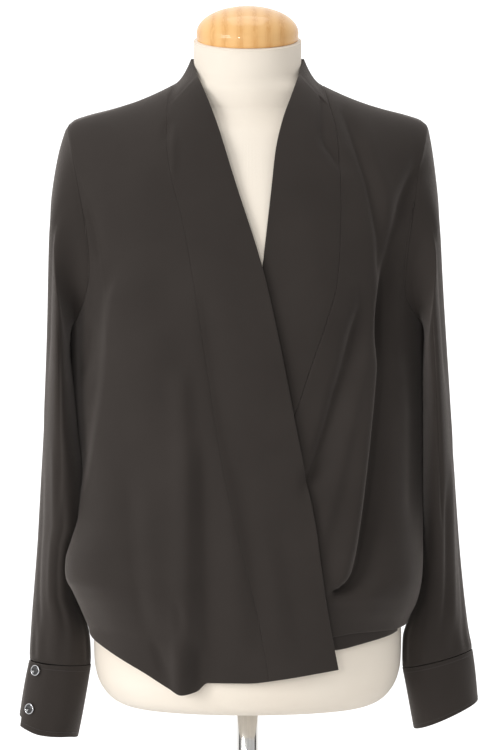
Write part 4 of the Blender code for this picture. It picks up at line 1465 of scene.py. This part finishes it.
@dataclass
class DressForm:
    """The limbless bust in jersey, its wooden neck cap, and the pole on a round base.

    rings holds rows of height, half width, depth in front and behind, and the forward tilt in degrees.
    throat holds rows of height and how far the front is filled out there. base_profile holds rows of
    radius and height.
    """

    jersey: bpy.types.Material
    wood: bpy.types.Material
    chrome: bpy.types.Material
    steel: bpy.types.Material
    rings: Rows = (
        (313, 108, 72, 76, 0), (314.5, 124, 86, 90, 0), (320, 139, 99, 103, 0), (331, 151, 108, 113, 0),
        (345, 158.5, 114, 118, 0), (362, 162, 116, 120, 0), (388, 162.8, 116, 118, 0),
        (420, 160, 113, 113, 0), (460, 150, 106, 104, 0), (510, 134, 98, 90, 0), (560, 122, 93, 80, 0),
        (600, 119, 93, 79, 0), (650, 127, 100, 86, 0), (700, 139, 109, 94, 0), (750, 148, 113, 98, 0),
        (800, 153, 106.5, 97, 0), (850, 160, 96, 92, 0), (890, 169, 82, 84, 0), (915, 173.5, 71, 75, 0),
        (928, 168, 58, 60, 0), (937, 154, 50, 52, 0), (942.5, 132, 47, 47, 0), (952, 103, 47, 47, 0),
        (962, 83, 50, 50, 0), (973, 64, 51, 52, 3), (985, 57, 53.5, 54.5, 9), (1018, 57, 57, 57, 17),
    )
    throat: Rows = (
        (880, 0), (895, 1), (915, 3.5), (930, 8.5), (942, 13), (952, 13.5), (962, 10), (973, 6.5),
        (985, 3.5), (1000, 1), (1010, 0),
    )
    throat_width: float = 48.0
    binding_radius: float = 0.9
    binding_in: float = 0.7
    binding_down: float = 0.8
    cap_radius: float = 54.0
    cap_foot: float = 53.4
    cap_side: float = 8.0
    cap_height: float = 35.4
    touch: float = 0.3
    pole_radius: float = 11.4
    pole_bevel: float = 0.6
    base_profile: Rows = (
        (0.001, 18), (22, 18), (27, 12), (144, 9), (149, 7), (150, 4), (150, 0), (0.001, 0),
    )

    def form_net(self, around: int = 144, count: int = 190) -> Net:
        """The bust: half ovals in front and behind at each ring, filled out from the throat to the chest.

        At the turn t a ring has x = half sin t and y = -deep cos t, where deep differs in front and behind.
        The throat's fill falls off as e to the minus square of x over throat_width. A tilted ring's height
        rises with y by the tangent of its tilt.

        Args:
            around: how many columns.
            count: how many rings.

        Returns:
            Its net, from the top down.
        """
        table = np.array(self.rings, float)
        run = np.concatenate([[0], np.cumsum(np.linalg.norm(np.diff(table[:, :3], axis=0), axis=1))])
        at = np.linspace(0, run[-1], count)
        height, half, front, back, tilt = (curve_through(run, table[:, i], at)[:, None] for i in range(5))
        t = np.arange(around) * 2 * math.pi / around
        deep = np.where(np.cos(t) > 0, front, back)
        x = half * np.sin(t)
        fill = curve_through(*np.array(self.throat, float).T, height)
        fill = fill * np.exp(-((x / self.throat_width) ** 2))
        y = -deep * np.cos(t) - np.where(np.cos(t) > 0, fill * np.cos(t) ** 0.5, 0)
        return np.stack([x, y, height + y * np.tan(np.radians(tilt))], axis=-1)[::-1]

    def rim_net(self, form: Net) -> Net:
        """The jersey's bound edge round the top of the neck: a small roll along the form's first row.

        Args:
            form: the bust's net.

        Returns:
            The roll's net, whose columns follow the neck.
        """
        t = np.linspace(0, 2 * math.pi, 13)
        away = form[0] - form[0].mean(axis=0)
        away /= np.linalg.norm(away, axis=1, keepdims=True)
        up = np.array((0, 0, 1.0))
        ring = form[0] - away * self.binding_in - up * self.binding_down
        roll = np.cos(t)[:, None, None] * away[None] + np.sin(t)[:, None, None] * up
        return ring[None] + self.binding_radius * roll

    def cap_net(self) -> Net:
        """The cap: a straight foot under a dome, h = side + rise cos a at r = R sin a, tilted forward.

        Returns:
            Its net, from the top down.
        """
        a = np.linspace(0, math.pi / 2, 40)
        rise = self.cap_height - self.cap_side
        dome = np.stack([self.cap_radius * np.sin(a), self.cap_side + rise * np.cos(a)], axis=1)
        dome[0, 0] = 0.001
        foot = [(self.cap_radius, 6), (self.cap_radius - 0.1, 2.5)]
        foot += [(self.cap_foot, 0.8), (self.cap_foot - 1, 0), (0.001, 0)]
        net = turned_net(np.concatenate([dome, foot]), 96)
        tilt = math.radians(self.rings[-1][-1])
        y = net[..., 1] * math.cos(tilt) - net[..., 2] * math.sin(tilt)
        z = net[..., 1] * math.sin(tilt) + net[..., 2] * math.cos(tilt)
        top = self.rings[-1][0] + self.touch / math.cos(tilt)
        return np.stack([net[..., 0], y, z + top], axis=-1)

    def build(self) -> None:
        """Makes the bust with its bound neck edge, the cap, the pole and the base."""
        form = self.form_net()
        cover = mesh_of_net("form", form, True, (True, True))
        place("form_jersey_cover", cover, self.jersey, "form_jersey", "dress_form")
        binding = mesh_of_net("binding", self.rim_net(form), True)
        place("form_neck_binding", binding, self.jersey, "form_jersey")
        cap = mesh_of_net("cap", self.cap_net(), True)
        place("wooden_neck_cap", cap, self.wood, "varnished_wood", "neck_cap")
        foot, head = self.base_profile[0][1] + self.touch, self.rings[0][0] - self.touch
        radius, bevel = self.pole_radius, self.pole_bevel
        edge = [(radius - bevel, head), (radius, head - bevel), (radius, foot), (0.001, foot)]
        pole = turned_net(np.array([(0.001, head), *edge]), 64)
        place("chrome_pole", mesh_of_net("pole", pole, True), self.chrome, "chrome", "pole")
        base = turned_net(resample(self.base_profile, 90), 128)
        place("round_base", mesh_of_net("base", base, True), self.steel, "base_steel", "base")


@dataclass
class Studio:
    """A plain pale floor, soft light from large lamps, white surroundings, and the camera, in metres.

    room and wall are the strengths of the surroundings on the camera's side and behind the object. lamps
    holds each lamp's name, place, aim, size and watts.
    """

    camera_x: float = 0.0026
    camera_height: float = 0.6636
    camera_away: float = 2.6
    picture_height: float = 0.795
    floor_radius: float = 1.55
    floor_drop: float = 0.0002
    sensor: float = 36.0
    room: float = 0.63
    wall: float = 1.3
    room_to_wall: tuple[float, float] = (-0.1, 0.85)
    lamps: tuple[tuple[str, tuple[float, ...], tuple[float, ...], float, float], ...] = (
        ("key_lamp", (-2.1, -1.8, 1.3), (0, 0, 0.65), 1.1, 35.0),
        ("top_lamp", (0.0, 0.2, 2.9), (0, 0, 0.8), 1.2, 10.0),
        ("window_lamp", (-0.9, -2.7, 1.0), (0, 0, 0.9), 0.3, 10.0),
    )

    def surroundings(self) -> bpy.types.World:
        """A white wall behind the object that falls off to a dimmer room on the camera's side.

        Returns:
            The world, whose strength follows a smooth step over the Y of the direction.
        """
        world = bpy.data.worlds.new("white_studio")
        world.use_nodes = True
        nodes, links = world.node_tree.nodes, world.node_tree.links
        way = nodes.new("ShaderNodeTexCoord")
        parts = nodes.new("ShaderNodeSeparateXYZ")
        dim = nodes.new("ShaderNodeMapRange")
        dim.interpolation_type = "SMOOTHSTEP"
        for end, place_in_y, strength in zip(("Min", "Max"), self.room_to_wall, (self.room, self.wall)):
            dim.inputs[f"From {end}"].default_value = place_in_y
            dim.inputs[f"To {end}"].default_value = strength
        links.new(way.outputs["Generated"], parts.inputs[0])
        links.new(parts.outputs["Y"], dim.inputs["Value"])
        links.new(dim.outputs["Result"], nodes["Background"].inputs["Strength"])
        nodes["Background"].inputs["Color"].default_value = (1, 1, 1, 1)
        return world

    def build(self) -> None:
        """Makes the camera, the lamps, the surroundings and the floor."""
        scene = bpy.context.scene
        scene.view_settings.view_transform = "Standard"
        view = bpy.data.objects.new("camera", bpy.data.cameras.new("camera"))
        view.data.sensor_width = self.sensor
        view.data.lens = self.sensor * self.camera_away / self.picture_height
        view.location = (self.camera_x, -self.camera_away, self.camera_height)
        view.rotation_euler = (math.pi / 2, 0, 0)
        scene.collection.objects.link(view)
        scene.camera = view
        scene.world = self.surroundings()
        for name, spot, aim, size, watts in self.lamps:
            lamp = bpy.data.objects.new(name, bpy.data.lights.new(name, "AREA"))
            lamp.data.size = size
            lamp.data.energy = watts
            lamp.location = spot
            lamp.rotation_euler = (Vector(aim) - Vector(spot)).to_track_quat("-Z", "Y").to_euler()
            scene.collection.objects.link(lamp)
        height = -self.floor_drop / MM
        reach = self.floor_radius / MM
        disc = turned_net(np.array([(1, height), (reach / 2, height), (reach, height)]), 96)
        floor = bpy.data.objects.new("floor", mesh_of_net("floor", disc, True, (True, False)))
        scene.collection.objects.link(floor)
        floor.data.materials.append(FloorFinish().material())


def arms(cloth: bpy.types.Material, thread: bpy.types.Material, trunk: Trunk) -> tuple[Arm, Arm]:
    """Both arms of the blouse with their tables and creases.

    Args:
        cloth: the sleeves' and cuffs' finish.
        thread: the stitching's finish.
        trunk: the surface that holds the armholes.

    Returns:
        The right and the left arm.
    """
    # the rims' metal is a painted highlight round each button's edge
    button, rim = ButtonFinish().material(), RimHighlightFinish().material()
    behind = (
        SleeveFold(-1.5, -1.0, 0.2, 0.1, 0.6, 0.6),
        SleeveFold(-1.5, -1.7, 0.2, 0.45, 0.97, 0.4),
        SleeveFold(1.2, -0.6, 0.2, 0.4, 0.9, -0.3),
    )
    right = Arm(
        Side.RIGHT,
        (
            (-199, 914, -187.9, 704, 66, 2), (-205, 882, -186.8, 695, 66, 3),
            (-208, 835, -186.6, 684, 67, 4), (-210, 780, -185.4, 671, 68, 6),
            (-211.5, 722, -183.2, 654, 69, 8), (-213.5, 668, -181.2, 632, 67, 9),
            (-216, 615, -178.4, 602, 63, 10), (-219, 563, -173.4, 557, 57, 12),
            (-222, 515, -173, 511, 50, 18), (-224.5, 476, -182.4, 473, 45, 22),
            (-227, 444, -183.4, 441, 44, 22), (-229, 415, -173.4, 411, 42, 16),
            (-230, 388, -167.4, 383, 39, 9), (-231, 362.5, -166.4, 357.5, 34.5, 4),
        ),
        (
            (-231.5, 361.5, -166, 356.5, 34.5, 4), (-236.5, 336, -172, 320, 35, 4),
            (-242, 303, -180.6, 280, 35.5, 5),
        ),
        math.radians(42),
        (
            SleeveFold(-1.6, 1.1, 0.12, 0.06, 0.42, -0.5),
            SleeveFold(1.3, 0.75, 0.16, 0.1, 0.55, -0.3),
            SleeveFold(-1.8, 2.0, 0.14, 0.2, 0.7, -0.9),
            SleeveFold(-1.3, 0.6, 0.14, 0.55, 0.97, 0.7),
            SleeveFold(1.5, 1.35, 0.17, 0.5, 0.97, 0.4),
            SleeveFold(-1.6, 1.8, 0.15, 0.62, 0.98, 0.2),
            *behind,
        ),
        cloth, thread, button, rim, trunk,
        lap_drop=9.0,
        button_down=(0.1, 0.67),
        button_inset=0.2,
    )
    left = Arm(
        Side.LEFT,
        (
            (195, 914, 188.5, 704, 66, 2), (199, 882, 186.2, 695, 66, 3),
            (202, 835, 185, 684, 67, 4), (205, 780, 184.6, 671, 68, 6),
            (208.5, 722, 184.8, 654, 69, 8), (212, 668, 185.2, 632, 67, 9),
            (215.5, 615, 185.4, 602, 63, 10), (219.5, 563, 185, 557, 57, 12),
            (223, 515, 184.8, 511, 51, 16), (226, 476, 183, 473, 47, 18),
            (229, 444, 180, 441, 45, 17), (232, 415, 172.6, 411, 43, 13),
            (234.5, 392, 164.8, 383, 39, 8), (238, 374, 164.2, 354.5, 34.5, 3),
        ),
        (
            (238.5, 373, 164.2, 353.5, 34.5, 3), (241.5, 349, 170, 323, 35, 3),
            (244.5, 319, 177, 289, 35.5, 4),
        ),
        math.radians(-52),
        (
            SleeveFold(-1.6, 1.2, 0.13, 0.05, 0.45, -0.4),
            SleeveFold(1.4, 0.8, 0.16, 0.1, 0.6, -0.3),
            SleeveFold(-2.0, 2.1, 0.14, 0.15, 0.75, -0.9),
            SleeveFold(-2.2, 1.3, 0.13, 0.6, 0.98, 0.5),
            SleeveFold(1.8, 0.95, 0.16, 0.55, 0.98, 0.4),
            SleeveFold(-1.4, 0.45, 0.15, 0.6, 0.97, 0.3),
            *behind,
        ),
        cloth, thread, button, rim, trunk,
    )
    return right, left


def main() -> None:
    """Builds the dress form, the blouse and the studio."""
    logging.basicConfig(level=logging.INFO, format="%(name)s: %(message)s")
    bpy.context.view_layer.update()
    cloth, thread = CrepeFinish().material(), ThreadFinish().material()
    finishes = (JerseyFinish(), PineFinish(), ChromeFinish(), SteelFinish())
    DressForm(*(finish.material() for finish in finishes)).build()
    body = Body(cloth)
    body.build()
    for arm in arms(cloth, thread, body.trunk):
        arm.build()
    Studio().build()


if __name__ == "__main__":
    main()
